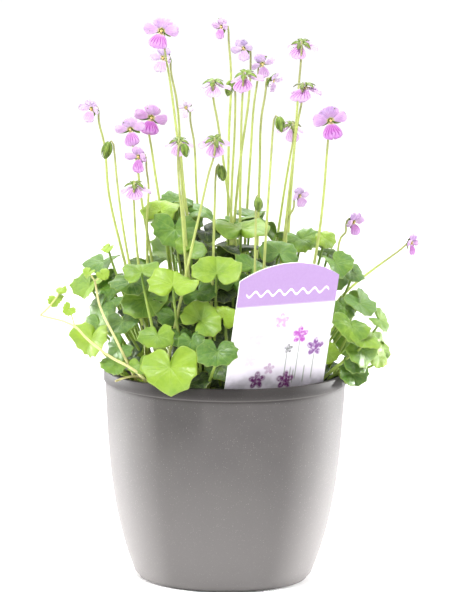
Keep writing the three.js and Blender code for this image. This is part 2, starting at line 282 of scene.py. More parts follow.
def grow(source, tree, name, **values):
    """Runs a tree on an object and keeps the plain mesh that it makes as a new object."""
    modifier = source.modifiers.new(tree.name, "NODES")
    modifier.node_group = tree
    for item in tree.interface.items_tree:
        if item.in_out == "INPUT" and item.name in values:
            modifier[item.identifier] = values[item.name]
    graph = bpy.context.evaluated_depsgraph_get()
    mesh = bpy.data.meshes.new_from_object(source.evaluated_get(graph))
    mesh.name = name
    source.modifiers.clear()
    return placed(name, mesh)


def curve_of(paths, smooth=True):
    """A curve object with one smooth spline through each list of points."""
    data = bpy.data.curves.new("paths", "CURVE")
    data.dimensions = "3D"
    for path in paths:
        if smooth:
            spline = data.splines.new("BEZIER")
            spline.bezier_points.add(len(path) - 1)
            for knot, point in zip(spline.bezier_points, path):
                knot.co = point
                knot.handle_left_type = knot.handle_right_type = "AUTO"
        else:
            spline = data.splines.new("POLY")
            spline.points.add(len(path) - 1)
            for knot, point in zip(spline.points, path):
                knot.co = (*point, 1)
    return placed("paths", data)


# %% [markdown]
# ## Shared effects
# Two effects turn up on nearly every surface: soft patches of a lighter or darker tone, and a fine
# grain that roughens the shine. Each is one group, built once and placed with its own values.

# %% The patch and grain groups
BLACK, WHITE = (0, 0, 0, 1), (1, 1, 1, 1)


def build_patches():
    tree, add, given, end = shade_group(
        "patches",
        [("Scale", "Float", 60.0), ("Low", "Color", BLACK), ("High", "Color", WHITE),
         ("Spread", "Float", 0.16)],
        [("Color", "Color"), ("Mask", "Float")])
    calc, blend, ease = math_in(add)
    here = add("ShaderNodeTexCoord", out=3)
    cloud = add("ShaderNodeTexNoise", here, None, given["Scale"], 3.0, 0.55)
    mask = ease(cloud, calc("SUBTRACT", 0.5, given["Spread"]), calc("ADD", 0.5, given["Spread"]))
    tree.links.new(blend(mask, given["Low"], given["High"]), end.inputs["Color"])
    tree.links.new(mask, end.inputs["Mask"])
    return tree


def build_grain():
    tree, add, given, end = shade_group(
        "grain",
        [("Scale", "Float", 900.0), ("Rough low", "Float", 0.4), ("Rough high", "Float", 0.6)],
        [("Roughness", "Float"), ("Height", "Float")])
    here = add("ShaderNodeTexCoord", out=3)
    fine = add("ShaderNodeTexNoise", here, None, given["Scale"], 2.0, 0.6)
    rough = add("ShaderNodeMapRange", fine, 0.3, 0.7, given["Rough low"], given["Rough high"])
    tree.links.new(rough, end.inputs["Roughness"])
    tree.links.new(fine, end.inputs["Height"])
    return tree


PATCHES = build_patches()
GRAIN = build_grain()
print("shared groups:", PATCHES.name, GRAIN.name)


# %% What every finish ends with
def grain_of(finish, scale, low, high):
    """The fine grain of a finish, between two roughnesses."""
    return use_group(finish, GRAIN, Scale=scale, Rough_low=low, Rough_high=high)


def surface(finish, colour, grain, bump=None, relief=None, specular=None):
    """Wires the colour, the grain's roughness, and a bump of (strength, depth) into a finish."""
    shader = shader_of(finish)
    wire(finish, colour, shader.inputs["Base Color"])
    wire(finish, grain["Roughness"], shader.inputs["Roughness"])
    if bump:
        raised = adder(finish.node_tree)("ShaderNodeBump", *bump)
        wire(finish, grain["Height"] if relief is None else relief, raised.node.inputs["Height"])
        wire(finish, raised, shader.inputs["Normal"])
    if specular is not None:
        shader.inputs["Specular IOR Level"].default_value = specular
    return finish

# %% [markdown]
# ## The pot
# The real pot is one thin moulding of warm grey plastic: a tapered cup with a shallow band round
# its rim and drain holes in its floor. Its shape follows one rule, a profile turned about the
# upright axis, so a geometry tree turns it: it bends a grid round the axis by the profile's
# points, welds the seam and the two poles, and cuts the holes. The profile itself is read from
# the corners of the CAD pot, and rounded where the rim and the foot are rounded in the mould.


# %% Read the pot's profile from the frame
def corners(node):
    """The distinct corners of a CAD node, in metres."""
    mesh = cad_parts[node].data
    flat = np.empty(len(mesh.vertices) * 3)
    mesh.vertices.foreach_get("co", flat)
    return np.unique(np.round(flat.reshape(-1, 3), 5), axis=0)


pot_points = corners("pot")
pot_low, pot_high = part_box("pot")
RIM = pot_high.z
RIM_RADIUS = (pot_high.x - pot_low.x) / 2
pot_levels = sorted({round(float(p[2]), 4) for p in pot_points if p[2] > 0.003})
pot_reach = {}
for level in pot_levels:
    ring = [math.hypot(p[0], p[1]) for p in pot_points if abs(p[2] - level) < 6e-5]
    pot_reach[level] = max(ring)
WALL = 1.7 * MM
BAND_LOW = RIM - 6 * MM
wall_levels = [level for level in pot_levels if level < BAND_LOW - MM]
foot_radius = float(np.max(np.hypot(*pot_points[pot_points[:, 2] < 1e-4][:, :2].T)))
print("pot: rim radius %.1f mm, foot radius %.1f mm, height %.1f mm"
      % (RIM_RADIUS / MM, foot_radius / MM, RIM / MM))


def wall_radius(height):
    """The pot's outside radius at a height, between the levels that the frame gives."""
    return float(np.interp(height, wall_levels, [pot_reach[level] for level in wall_levels]))


# %% Turn the pot
def pot_profile():
    """Radius and height from the middle of the underside, up the outside, over and down inside."""
    fine = np.linspace(3.2 * MM, BAND_LOW - 0.9 * MM, 26)
    smooth = np.polynomial.Polynomial.fit(
        wall_levels, [pot_reach[level] for level in wall_levels], 4)
    outside = [(float(smooth(z)), float(z)) for z in fine]
    inside = [(r - WALL, z) for r, z in outside[::-1] if z > 4 * MM]
    step = outside[-1][0]
    band = [
        (step, BAND_LOW - 0.4 * MM), (RIM_RADIUS - 0.25 * MM, BAND_LOW + 0.05 * MM),
        (RIM_RADIUS, BAND_LOW + 0.35 * MM), (RIM_RADIUS, BAND_LOW + 3 * MM),
        (RIM_RADIUS, RIM - 0.75 * MM), (RIM_RADIUS - 0.2 * MM, RIM - 0.2 * MM),
        (RIM_RADIUS - 0.8 * MM, RIM), (RIM_RADIUS - 1.9 * MM, RIM),
        (RIM_RADIUS - 2.4 * MM, RIM - 0.3 * MM), (RIM_RADIUS - 2.55 * MM, RIM - 1.2 * MM),
    ]
    foot = [
        (0, 1.1 * MM), (foot_radius - 7 * MM, 1.1 * MM), (foot_radius - 6 * MM, 0.05 * MM),
        (foot_radius - 0.5 * MM, 0.0), (foot_radius + 0.4 * MM, 0.35 * MM),
        (foot_radius + 0.9 * MM, 1.2 * MM),
    ]
    floor = [(foot_radius - 3.6 * MM, 2.4 * MM), (foot_radius - 5 * MM, 2.2 * MM), (0, 2.2 * MM)]
    return foot + outside + band + inside + floor


def build_turner():
    tree, add, given, end = new_tree(
        "turned_pot", ("Profile points", "Int", 60), ("Sides", "Int", 144),
        ("Hole count", "Int", 6), ("Hole radius", "Float", 3 * MM), ("Hole ring", "Float", 29 * MM),
        ("Finish", "Material", None))
    calc, put = math_in(add)[0], filler(tree)
    rows = given["Profile points"]
    grid = add("GeometryNodeMeshGrid", 1.0, 1.0, calc("ADD", given["Sides"], 1.0), rows)
    index = add("GeometryNodeInputIndex")
    column = calc("FLOOR", calc("DIVIDE", index, rows))
    profile = add("GeometryNodeSampleIndex", given["Shape"], add("GeometryNodeInputPosition"),
                  calc("MODULO", index, rows), data_type="FLOAT_VECTOR", domain="POINT")
    radius = add("ShaderNodeSeparateXYZ", profile)
    height = radius.node.outputs[2]
    turn = calc("MULTIPLY", calc("DIVIDE", column, given["Sides"]), 2 * math.pi)
    x = calc("MULTIPLY", radius, calc("COSINE", turn))
    y = calc("MULTIPLY", radius, calc("SINE", turn))
    moved = add("GeometryNodeSetPosition", grid, True, add("ShaderNodeCombineXYZ", x, y, height))
    shell = put("GeometryNodeMergeByDistance", {"Geometry": moved, "Distance": 1e-6})[0]
    drill = add("GeometryNodeMeshCylinder", 20, 1, 1, given["Hole radius"], 12 * MM)
    ring = add("GeometryNodeMeshCircle", given["Hole count"], given["Hole ring"])
    drills = add("GeometryNodeRealizeInstances",
                 add("GeometryNodeInstanceOnPoints", ring, True, drill))
    cut = put("GeometryNodeMeshBoolean", {0: shell, 1: drills},
              operation="DIFFERENCE", solver="EXACT")[0]
    whole = add("GeometryNodeRealizeInstances", cut)
    painted = add("GeometryNodeSetMaterial", whole, True, given["Finish"])
    tree.links.new(painted, end.inputs[0])
    return tree


# %% [markdown]
# The pot's plastic is ground-up recycled stock: a satin warm grey with tiny paler flecks all
# through it and very faint flow marks. Light is painted into its colour too: it is painted lighter
# towards the foot as painted floor light, the rim band and the groove under it are painted darker
# as painted shade, and a painted highlight runs along the band's lower edge. Voronoi cells make
# the flecks, because each fleck is a separate chip with its own size and strength.


# %% The pot's plastic
def paint_pot():
    finish, add = new_finish("pot_plastic")
    calc, blend, ease = math_in(add)
    here = add("ShaderNodeTexCoord", out=3)
    tone = use_group(finish, PATCHES, Scale=34.0, Low=rgb(82, 79, 79), High=rgb(88, 85, 84),
                     Spread=0.3)
    chips = add("ShaderNodeTexVoronoi", here, None, 1250.0, feature="F1")
    chance = add("ShaderNodeSeparateColor", chips.node.outputs[1])
    rare = ease(chance, 0.30, 0.55)
    fleck = calc("MULTIPLY", ease(chips, 0.26, 0.10), rare)
    strength = calc("MULTIPLY", fleck, chance.node.outputs[1])
    height = add("ShaderNodeSeparateXYZ", here).node.outputs[2]
    # Painted light: the plastic is painted lighter towards the foot, for the light that the pale floor
    # throws up.
    foot_painted_light = blend(ease(height, 95 * MM, 0.0), tone["Color"], rgb(112, 109, 108))
    flecked = blend(calc("MULTIPLY", strength, 0.6), foot_painted_light, rgb(158, 154, 150))
    edge = calc("MULTIPLY", ease(height, BAND_LOW - 0.5 * MM, BAND_LOW - 0.1 * MM),
                ease(height, BAND_LOW + 0.6 * MM, BAND_LOW + 0.2 * MM))
    # Painted shade: a darker line in the groove under the band's lip.
    groove = calc("MULTIPLY", ease(height, BAND_LOW - 1.6 * MM, BAND_LOW - 0.6 * MM),
                  ease(height, BAND_LOW + 0.1 * MM, BAND_LOW - 0.3 * MM))
    groove_painted_shade = blend(calc("MULTIPLY", groove, 0.5), flecked, rgb(62, 58, 57))
    # Painted shade: the rim band is painted darker than the wall below it.
    band_painted_shade = blend(calc("MULTIPLY", ease(height, BAND_LOW - 3 * MM, BAND_LOW + 3 * MM), 0.8),
                   groove_painted_shade, rgb(42, 39, 38))
    # Painted highlight: a lighter line along the band's lower edge.
    ridge_painted_highlight = blend(calc("MULTIPLY", edge, 0.3), band_painted_shade, rgb(120, 116, 113))
    flow = add("ShaderNodeTexNoise", add("ShaderNodeMapping", here, None, None, (30, 30, 400)),
               None, 1.0, 2.0)
    grain = grain_of(finish, 1500.0, 0.52, 0.66)
    lift = calc("ADD", calc("MULTIPLY", flow, 0.25), calc("MULTIPLY", grain["Height"], 0.5))
    return surface(finish, ridge_painted_highlight, grain, (0.14, 0.0002), lift, specular=0.16)


POT_PLASTIC = paint_pot()
profile = pot_profile()
source = curve_of([[(r, 0, z) for r, z in profile]], smooth=False)
pot = grow(source, build_turner(), "grey_pot",
           **{"Profile points": len(profile), "Finish": POT_PLASTIC})
bpy.data.objects.remove(source)
pot.data.set_sharp_from_angle(angle=math.radians(40))
hand_over(pot, "pot_plastic", "pot")
print("grey_pot:", len(profile), "profile points,", len(pot.data.polygons), "faces")

# %% [markdown]
# ## The soil
# Peat-based potting soil is dark, crumbly and uneven. The bed is a copy of the CAD soil, welded
# and divided more finely on top, then lifted by noise. The loose crumbs on it are what
# repeats, so a geometry tree scatters them over the top faces: a few rough lumps, turned and
# sized at random from a fixed seed.


# %% The soil's finish
def paint_soil():
    finish, add = new_finish("soil")
    calc, blend, ease = math_in(add)
    tone = use_group(finish, PATCHES, Scale=420.0, Low=rgb(30, 21, 14), High=rgb(74, 54, 38),
                     Spread=0.14)
    fibres = use_group(finish, PATCHES, Scale=1100.0, Low=BLACK, High=WHITE,
                       Spread=0.06)
    speck = calc("MULTIPLY", ease(fibres["Mask"], 0.8, 1.0), 0.35)
    grain = grain_of(finish, 1600.0, 0.85, 1.0)
    return surface(finish, blend(speck, tone["Color"], rgb(120, 92, 66)), grain, (0.8, 0.0008))


SOIL = paint_soil()


# %% The soil bed
BED_LEVEL, CRUMB_LEVEL = RIM - 14 * MM, RIM - 13.5 * MM


def lumpy(x, y):
    """How far the bed is lifted or sunk at a place, in metres."""
    wide = noise.noise(Vector((x * 90, y * 90, 3.1)))
    small = noise.noise(Vector((x * 340, y * 340, 8.7)))
    return (1.3 * wide + 0.9 * small) * MM


def build_bed():
    work = bmesh.new()
    work.from_mesh(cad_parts["potting_soil"].data)
    bmesh.ops.remove_doubles(work, verts=work.verts, dist=1e-5)
    top = [f for f in work.faces if f.normal.z > 0.5 and f.calc_center_median().z > BED_LEVEL]
    edges = list({e for f in top for e in f.edges if e.calc_length() > 2.5 * MM})
    bmesh.ops.subdivide_edges(work, edges=edges, cuts=2, use_grid_fill=True)
    bmesh.ops.triangulate(work, faces=[f for f in work.faces if len(f.verts) > 4])
    for v in work.verts:
        r = math.hypot(v.co.x, v.co.y)
        if v.co.z > BED_LEVEL and r < wall_radius(v.co.z) - WALL - 1.2 * MM:
            v.co.z += lumpy(v.co.x, v.co.y)
    mesh = bpy.data.meshes.new("soil_bed")
    work.to_mesh(mesh)
    work.free()
    mesh.materials.clear()
    mesh.materials.append(SOIL)
    mesh.polygons.foreach_set("material_index", np.zeros(len(mesh.polygons), np.int32))
    return placed("soil_bed", mesh)


def build_scatter():
    tree, add, given, end = new_tree(
        "scattered_crumbs", ("Crumbs a square metre", "Float", 230000.0),
        ("Lowest", "Float", 0.0), ("Largest", "Float", 1.5 * MM), ("Seed", "Int", 4),
        ("Finish", "Material", None))
    place = add("ShaderNodeSeparateXYZ", add("GeometryNodeInputPosition")).node.outputs[2]
    facing = add("ShaderNodeSeparateXYZ", add("GeometryNodeInputNormal")).node.outputs[2]
    high = add("FunctionNodeCompare", place, given["Lowest"], operation="GREATER_THAN")
    level = add("FunctionNodeCompare", facing, 0.6, operation="GREATER_THAN")
    on_top = add("FunctionNodeBooleanMath", high, level, operation="AND")
    put = filler(tree)
    spots = put("GeometryNodeDistributePointsOnFaces",
                {"Mesh": given["Shape"], "Selection": on_top,
                 "Density": given["Crumbs a square metre"], "Seed": given["Seed"]})
    lump = add("GeometryNodeMeshIcoSphere", given["Largest"], 1)
    wobble = add("ShaderNodeTexNoise", None, None, 700.0, 1.0, out=1)
    shift = add("ShaderNodeVectorMath", wobble, (0.5, 0.5, 0.5), operation="SUBTRACT")
    scaled = put("ShaderNodeVectorMath", {0: shift, "Scale": 2.6 * MM}, operation="SCALE")[0]
    crumb = add("GeometryNodeSetPosition", lump, True, None, scaled)
    size = put("FunctionNodeRandomValue", {2: 0.25, 3: 1.0}, data_type="FLOAT")[1]
    turn = put("FunctionNodeRandomValue", {1: (6.28, 6.28, 6.28)}, data_type="FLOAT_VECTOR")[0]
    both = put("GeometryNodeInstanceOnPoints",
               {"Points": spots["Points"], "Instance": crumb, "Rotation": turn, "Scale": size})
    real = add("GeometryNodeRealizeInstances", both[0])
    tree.links.new(add("GeometryNodeSetMaterial", real, True, given["Finish"]), end.inputs[0])
    return tree


soil_bed = build_bed()
crumbs = grow(soil_bed, build_scatter(), "soil_crumbs",
              **{"Lowest": CRUMB_LEVEL, "Finish": SOIL})
hand_over(soil_bed, "soil", "potting_soil")
hand_over(crumbs, "soil")
print("soil:", len(soil_bed.data.polygons), "faces,", len(crumbs.data.polygons), "on crumbs")

# %% [markdown]
# ## The plant label
# A grower's label is a stiff printed plastic card, half a millimetre thick, with an arched top
# and a spike that goes down into the soil. It is one flat outline with a thickness, so it is
# built directly: its outline is drawn in the card's own plane, which comes from the CAD label's
# long straight edges. A real label carries words; this one carries none.


# %% Find the card's own plane
def plate_frame(points, thick):
    """The unit normal of a thin plate, and its corners' pairs: each pair is thick apart."""
    votes = []
    for k, p in enumerate(points):
        gap = points - p
        far = np.linalg.norm(gap, axis=1)
        for other in np.nonzero(np.abs(far - thick) < 0.025 * MM)[0]:
            votes.append((k, other, gap[other] / far[other]))
    best = []
    for _, _, way in votes:
        alike = [v for v in votes if np.dot(v[2], way) > 0.999]
        if len(alike) > len(best):
            best = alike
    normal = unit(np.mean([v[2] for v in best], axis=0))
    pairs = [(points[a], points[b]) for a, b, _ in best]
    return normal, pairs


card_points = corners("plant_label")
card_out, card_pairs = plate_frame(card_points, 0.8 * MM)
if card_out[1] > 0:
    card_out = -card_out
mids = np.array([(a + b) / 2 for a, b in card_pairs])
card_right = unit(np.cross(UP, card_out))
card_up = np.cross(card_out, card_right)
across, heights = mids @ card_right, mids @ card_up
CARD_WIDTH = float(np.ptp(across)) / MM
card_middle = (across.max() + across.min()) / 2
card_level = float(heights.min()) + 49 * MM
card_deep = float(np.mean(mids @ card_out))
edge = np.abs(across - card_middle) > (CARD_WIDTH / 2 - 0.1) * MM
CARD_RISE = float(heights[edge].max() - card_level) / MM
CARD_ARCH = float(heights.max() - card_level) / MM - CARD_RISE
print("label: %.1f mm wide, corners %.1f mm up, leaning %.0f degrees"
      % (CARD_WIDTH, CARD_RISE, math.degrees(math.asin(-card_out[2]))))


def on_card(x, y, depth):
    """A point on the card, x across from its middle line and y up from the pot's rim, in mm."""
    return (card_right * (card_middle + x * MM) + card_up * (card_level + y * MM)
            + card_out * (card_deep + depth * MM))


# %% [markdown]
# The card's print is a lilac heading band with a thin line under it, then a pale, nearly white
# field where a few soft violets stand on thin stems, with a grey-green haze at the bottom. The
# blooms repeat, so one group draws a bloom and is placed once for each.


# %% The label's print
def build_bloom():
    tree, add, given, end = shade_group(
        "printed_bloom",
        [("Place", "Vector", None), ("Middle", "Vector", None), ("Size", "Float", 3.0),
         ("Under", "Color", (1, 1, 1, 1)), ("Petal", "Color", (1, 0, 1, 1)),
         ("Strength", "Float", 1.0)],
        [("Color", "Color")])
    calc, blend, ease = math_in(add)
    away = add("ShaderNodeVectorMath", given["Place"], given["Middle"], operation="SUBTRACT")
    parts = add("ShaderNodeSeparateXYZ", away)
    x, y = parts, parts.node.outputs[1]
    reach = calc("DIVIDE", calc("SQRT", calc("ADD", calc("MULTIPLY", x, x),
                                             calc("MULTIPLY", y, y))), given["Size"])
    angle = calc("ARCTAN2", x, y)
    lobes = calc("ABSOLUTE", calc("COSINE", calc("MULTIPLY", angle, 2.5)))
    edge = calc("MULTIPLY_ADD", lobes, 0.45, 0.6)
    soft = ease(calc("SUBTRACT", edge, reach), 0.0, 0.28)
    mottle = add("ShaderNodeTexNoise", given["Place"], None, 0.55, 3.0)
    broken = ease(mottle, 0.32, 0.58, 0.4, 1.0)
    cover = calc("MULTIPLY", calc("MULTIPLY", soft, broken), given["Strength"])
    tree.links.new(blend(cover, given["Under"], given["Petal"]), end.inputs["Color"])
    return tree


BLOOM = build_bloom()
# The card's map holds this many millimetres to one unit. The heading starts this far up the card.
CARD_MAP, HEADING = 100, 42.5
# For each printed bloom: how far across and up the card it is, its size, its colour and strength.
PRINTED = [
    (-1, 33.5, 4.6, rgb(176, 104, 170), 0.7), (10.5, 25.5, 5.2, rgb(164, 62, 168), 1.0),
    (20, 18.5, 5.4, rgb(112, 48, 130), 1.0), (-10.5, 2.8, 5.2, rgb(92, 14, 90), 1.0),
    (5.5, 1.8, 5.4, rgb(102, 20, 98), 1.0), (5, 18.5, 2.8, rgb(84, 90, 82), 0.9),
    (-4.5, 8.5, 3.4, rgb(150, 90, 144), 0.6), (-14, 24.5, 5.2, rgb(190, 166, 196), 0.6),
    (-16, 14.0, 4.4, rgb(190, 168, 196), 0.5),
]
# For each printed stem: how far across it is, and how far up the card it starts and ends.
STEMS = [(10.8, 2, 23), (20, 2, 15), (4.5, 3, 17), (7.8, 0, 8.5), (9.5, 0, 7), (15.5, 0, 9)]


def paint_label():
    finish, add = new_finish("label_card")
    calc, blend, ease = math_in(add)
    uv = add("ShaderNodeUVMap", uv_map="flat")
    place = add("ShaderNodeVectorMath", uv, (CARD_MAP, CARD_MAP, 0), operation="MULTIPLY")
    parts = add("ShaderNodeSeparateXYZ", place)
    x, y = parts, parts.node.outputs[1]
    cloud = add("ShaderNodeTexNoise", place, None, 0.10, 3.0)
    field = blend(cloud, rgb(232, 226, 236), rgb(216, 210, 222))
    haze = calc("MULTIPLY", ease(y, 11.0, -1.0),
                ease(add("ShaderNodeTexNoise", place, None, 0.13, 2.0), 0.35, 0.6))
    colour = blend(calc("MULTIPLY", haze, 0.55), field, rgb(160, 158, 163))
    for stem_x, low, high in STEMS:
        near = ease(calc("ABSOLUTE", calc("SUBTRACT", x, stem_x)), 0.5, 0.1)
        span = calc("MULTIPLY", ease(y, low - 1, low + 1), ease(y, high + 1, high - 1))
        colour = blend(calc("MULTIPLY", calc("MULTIPLY", near, span), 0.75), colour,
                       rgb(112, 128, 104))
    for bloom_x, bloom_y, size, petal, strength in PRINTED:
        colour = use_group(finish, BLOOM, Place=place, Middle=(bloom_x, bloom_y, 0), Size=size,
                           Under=colour, Petal=petal, Strength=strength)["Color"]
    band = ease(y, HEADING - 0.1, HEADING + 0.1)
    line = calc("MULTIPLY", ease(y, HEADING - 0.7, HEADING - 0.5),
                ease(y, HEADING + 0.1, HEADING - 0.1))
    colour = blend(calc("MULTIPLY", line, 0.6), colour, rgb(130, 95, 150))
    colour = blend(band, colour, rgb(164, 132, 184))
    wave = calc("ADD", calc("MULTIPLY", calc("SINE", calc("MULTIPLY", x, 0.95)), 1.3), 48.6)
    ribbon = calc("MULTIPLY", ease(calc("ABSOLUTE", calc("SUBTRACT", y, wave)), 0.75, 0.45),
                  ease(calc("ABSOLUTE", x), 23.5, 22.8))
    colour = blend(ribbon, colour, rgb(244, 240, 246))
    wear = use_group(finish, PATCHES, Scale=900.0, Low=BLACK, High=WHITE,
                     Spread=0.05)
    colour = blend(calc("MULTIPLY", wear["Mask"], 0.015), colour, (1, 1, 1, 1))
    grain = grain_of(finish, 2400.0, 0.28, 0.4)
    return surface(finish, colour, grain, (0.05, 0.0001))


def paint_card_edge():
    finish, _ = new_finish("label_cut_edge")
    tone = use_group(finish, PATCHES, Scale=300.0, Low=rgb(240, 238, 242),
                     High=rgb(252, 252, 252))
    wire(finish, tone["Color"], shader_of(finish).inputs["Base Color"])
    shader_of(finish).inputs["Roughness"].default_value = 0.45
    return finish


# %% Cut the card
def card_outline():
    """The card's outline in its own plane, in mm, round from the lower right corner."""
    half, rise, arch = CARD_WIDTH / 2, CARD_RISE, CARD_ARCH
    radius = (half ** 2 + arch ** 2) / (2 * arch)
    span = math.asin(half / radius)
    outline = [(half, -7)]
    for k in range(29):
        angle = math.pi / 2 - span + 2 * span * k / 28
        outline.append((radius * math.cos(angle), rise + arch - radius + radius * math.sin(angle)))
    outline.append((-half, -7))
    left = [(-9, -8), (-6.9, -9.4), (-6.5, -11.5), (-6.5, -40), (-0.8, -48.4)]
    outline += left
    outline += [(-x, y) for x, y in left[::-1]]
    return outline


outline = card_outline()
count = len(outline)
front, back = ([on_card(x, y, depth) for x, y in outline] for depth in (0.25, -0.25))
sides = [(k, k + count, (k + 1) % count + count, (k + 1) % count) for k in range(count)]
faces = [tuple(range(count)), tuple(range(2 * count - 1, count - 1, -1))] + sides
card = as_mesh("plant_label_card", front + back, faces, [paint_label(), paint_card_edge()],
               smooth=False, slots=[0, 0] + [1] * count,
               uv=[(x / CARD_MAP, y / CARD_MAP) for x, y in outline * 2])
work = bmesh.new()
work.from_mesh(card.data)
bmesh.ops.recalc_face_normals(work, faces=work.faces)
bmesh.ops.triangulate(work, faces=[f for f in work.faces if len(f.verts) > 4])
work.to_mesh(card.data)
work.free()
hand_over(card, "label_card", "plant_label")
print("plant_label_card:", count, "outline points")

# %% [markdown]
# ## Stalks
# Each flower stands on its own thin stalk that rises from the soil, leans a little, and hooks
# over at the top like a shepherd's crook. The frame holds each stalk as a short chain of
# five-sided rings, so the middles of those rings are its route. One geometry tree then draws
# any number of routes as smooth tubes that thin towards the top, and marks how far along each
# place is, so that the finish can turn from pale green at the foot to brownish at the neck.


# %% Read stalks, plates and buds from the frame
def ring_middles(points, reach):
    """Middles of the five-cornered rings of a tube, from the foot up."""
    left = list(range(len(points)))
    middles = []
    while left:
        group = [left.pop(0)]
        for k in group:
            near = [m for m in left if np.linalg.norm(points[m] - points[k]) < reach]
            group += near
            left = [m for m in left if m not in near]
        if len(group) == 5:
            middles.append(points[group].mean(axis=0))
    return sorted(middles, key=lambda p: p[2])


def read_plate(node, thick, reach):
    """Where a thin plate is: its rim's corners on the outer face, its normal, and the rest."""
    points = corners(node)
    normal, pairs = plate_frame(points, thick)
    middle = np.mean([(a + b) / 2 for a, b in pairs], axis=0)
    used = {tuple(p) for pair in pairs for p in pair}
    rest = np.array([p for p in points if tuple(p) not in used])
    near = rest[np.linalg.norm(rest - middle, axis=1) < reach]
    if np.mean((near - middle) @ normal) > 0:
        normal = -normal
    rim = np.array([a if (a - b) @ normal > 0 else b for a, b in pairs])
    rim = np.unique(np.round(rim, 6), axis=0)
    return rest, rim, normal


# The share of a bloom's width from its middle back to the hinge where its stalk joins.
HINGE = 0.27


def read_flower(node):
    rest, rim, out = read_plate(node, 0.9 * MM, 6 * MM)
    middle = rim.mean(axis=0)
    up = unit(UP - out * out[2])
    width = float(np.linalg.norm(rim - middle, axis=1).max()) / 0.484
    middle = middle + up * 0.03 * width
    away = rest[np.linalg.norm(rest - middle, axis=1) > 5.5 * MM]
    return {"middle": middle, "out": out, "up": up, "width": width,
            "route": ring_middles(away, 1.25 * MM)}


def read_leaf(node):
    rest, rim, out = read_plate(node, 0.8 * MM, 6 * MM)
    middle = rim.mean(axis=0)
    close = rest[np.linalg.norm(rest - middle, axis=1) < 0.35 * np.ptp(rim, axis=0).max()]
    hub = close[np.argmax(close @ out)]
    joint = hub + out * ((middle - hub) @ out)
    tip = unit(middle - joint)
    side = np.cross(tip, out)
    width = float(np.ptp(rim @ side)) / 1.06
    away = rest[np.linalg.norm(rest - joint, axis=1) > 3.4 * MM]
    return {"joint": joint, "out": out, "tip": tip, "width": width,
            "route": ring_middles(away, 1.5 * MM)}


def read_bud(node):
    points = corners(node)
    crowd = np.array([np.sum(np.linalg.norm(points - p, axis=1) < 4 * MM) for p in points])
    body = points[(crowd >= 12) & (points[:, 2] > points[:, 2].max() - 12 * MM)]
    middle = body.mean(axis=0)
    body = body[np.linalg.norm(body - middle, axis=1) < 5 * MM]
    middle = (body.max(axis=0) + body.min(axis=0)) / 2
    _, _, axes = np.linalg.svd(body - body.mean(axis=0))
    out = axes[0] if axes[0][2] < 0 else -axes[0]
    along = (body - middle) @ out
    middle = middle + out * (along.max() + along.min()) / 2
    length = float(np.ptp(along))
    away = points[np.linalg.norm(points - middle, axis=1) > 0.6 * length + 1 * MM]
    out = unit(out * np.array([0.45, 0.45, 1]))
    return {"middle": middle, "out": out, "length": length,
            "route": ring_middles(away, 1.25 * MM)}


def named(word):
    return sorted(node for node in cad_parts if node.startswith(word))


flowers = {node: read_flower(node) for node in named("flower_")}
buds = {node: read_bud(node) for node in named("bud_")}
leaves = {node: read_leaf(node) for node in named("leaf_")}
for word, group in (("flower", flowers), ("bud", buds), ("leaf", leaves)):
    print(word, "routes:", sorted({len(item["route"]) for item in group.values()}),
          "of rings,", len(group), "pieces")


# %% The tree that draws stalks
def build_stalks():
    tree, add, given, end = new_tree(
        "drawn_stalks", ("Foot radius", "Float", 0.85 * MM), ("Neck radius", "Float", 0.5 * MM),
        ("Steps", "Int", 44), ("Sides", "Int", 8), ("Wander", "Float", 0.5 * MM),
        ("Seed", "Float", 1.0), ("Finish", "Material", None))
    calc, put = math_in(add)[0], filler(tree)
    route = put("GeometryNodeResampleCurve", {"Curve": given["Shape"], "Count": given["Steps"]})
    share = add("GeometryNodeSplineParameter")
    kept = put("GeometryNodeStoreNamedAttribute",
               {"Geometry": route[0], "Name": "along", "Value": share},
               data_type="FLOAT", domain="POINT")
    drift = add("ShaderNodeTexNoise", add("GeometryNodeInputPosition"), given["Seed"], 9.0, 1.0,
                out=1, noise_dimensions="4D")
    centred = add("ShaderNodeVectorMath", drift, (0.5, 0.5, 0.5), operation="SUBTRACT")
    free = calc("SINE", calc("MULTIPLY", share, math.pi))
    sway = put("ShaderNodeVectorMath",
               {0: centred, "Scale": calc("MULTIPLY", given["Wander"], free)}, operation="SCALE")
    swayed = add("GeometryNodeSetPosition", kept[0], True, None, sway[0])
    taper = add("ShaderNodeMapRange", share, 0.0, 1.0, given["Foot radius"], given["Neck radius"])
    section = put("GeometryNodeCurvePrimitiveCircle",
                  {"Resolution": given["Sides"], "Radius": 1.0})
    body = put("GeometryNodeCurveToMesh", {"Curve": swayed, "Scale": taper,
                                           "Profile Curve": section[0], "Fill Caps": True})
    real = add("GeometryNodeRealizeInstances", body[0])
    tree.links.new(add("GeometryNodeSetMaterial", real, True, given["Finish"]), end.inputs[0])
    return tree


STALK_TREE = build_stalks()


def draw_stalks(name, routes, finish, foot, neck, wander, steps, sides=8, seed=1.0):
    """Draws all the routes as one piece. The radii and the wander are in millimetres."""
    source = curve_of(routes)
    piece = grow(source, STALK_TREE, name,
                 **{"Finish": finish, "Foot radius": foot * MM, "Neck radius": neck * MM,
                    "Wander": wander * MM, "Steps": steps, "Sides": sides, "Seed": seed})
    bpy.data.objects.remove(source)
    return piece


def smoothed(piece):
    piece.data.polygons.foreach_set("use_smooth", [True] * len(piece.data.polygons))
    return piece


# %% [markdown]
# The stalks are translucent and slightly ribbed along their length. They are a pale
# yellow-green, and the upper third of many is brushed with brownish mauve. The finish mixes
# these by the mark that the tree left along each stalk, and lets some light through.


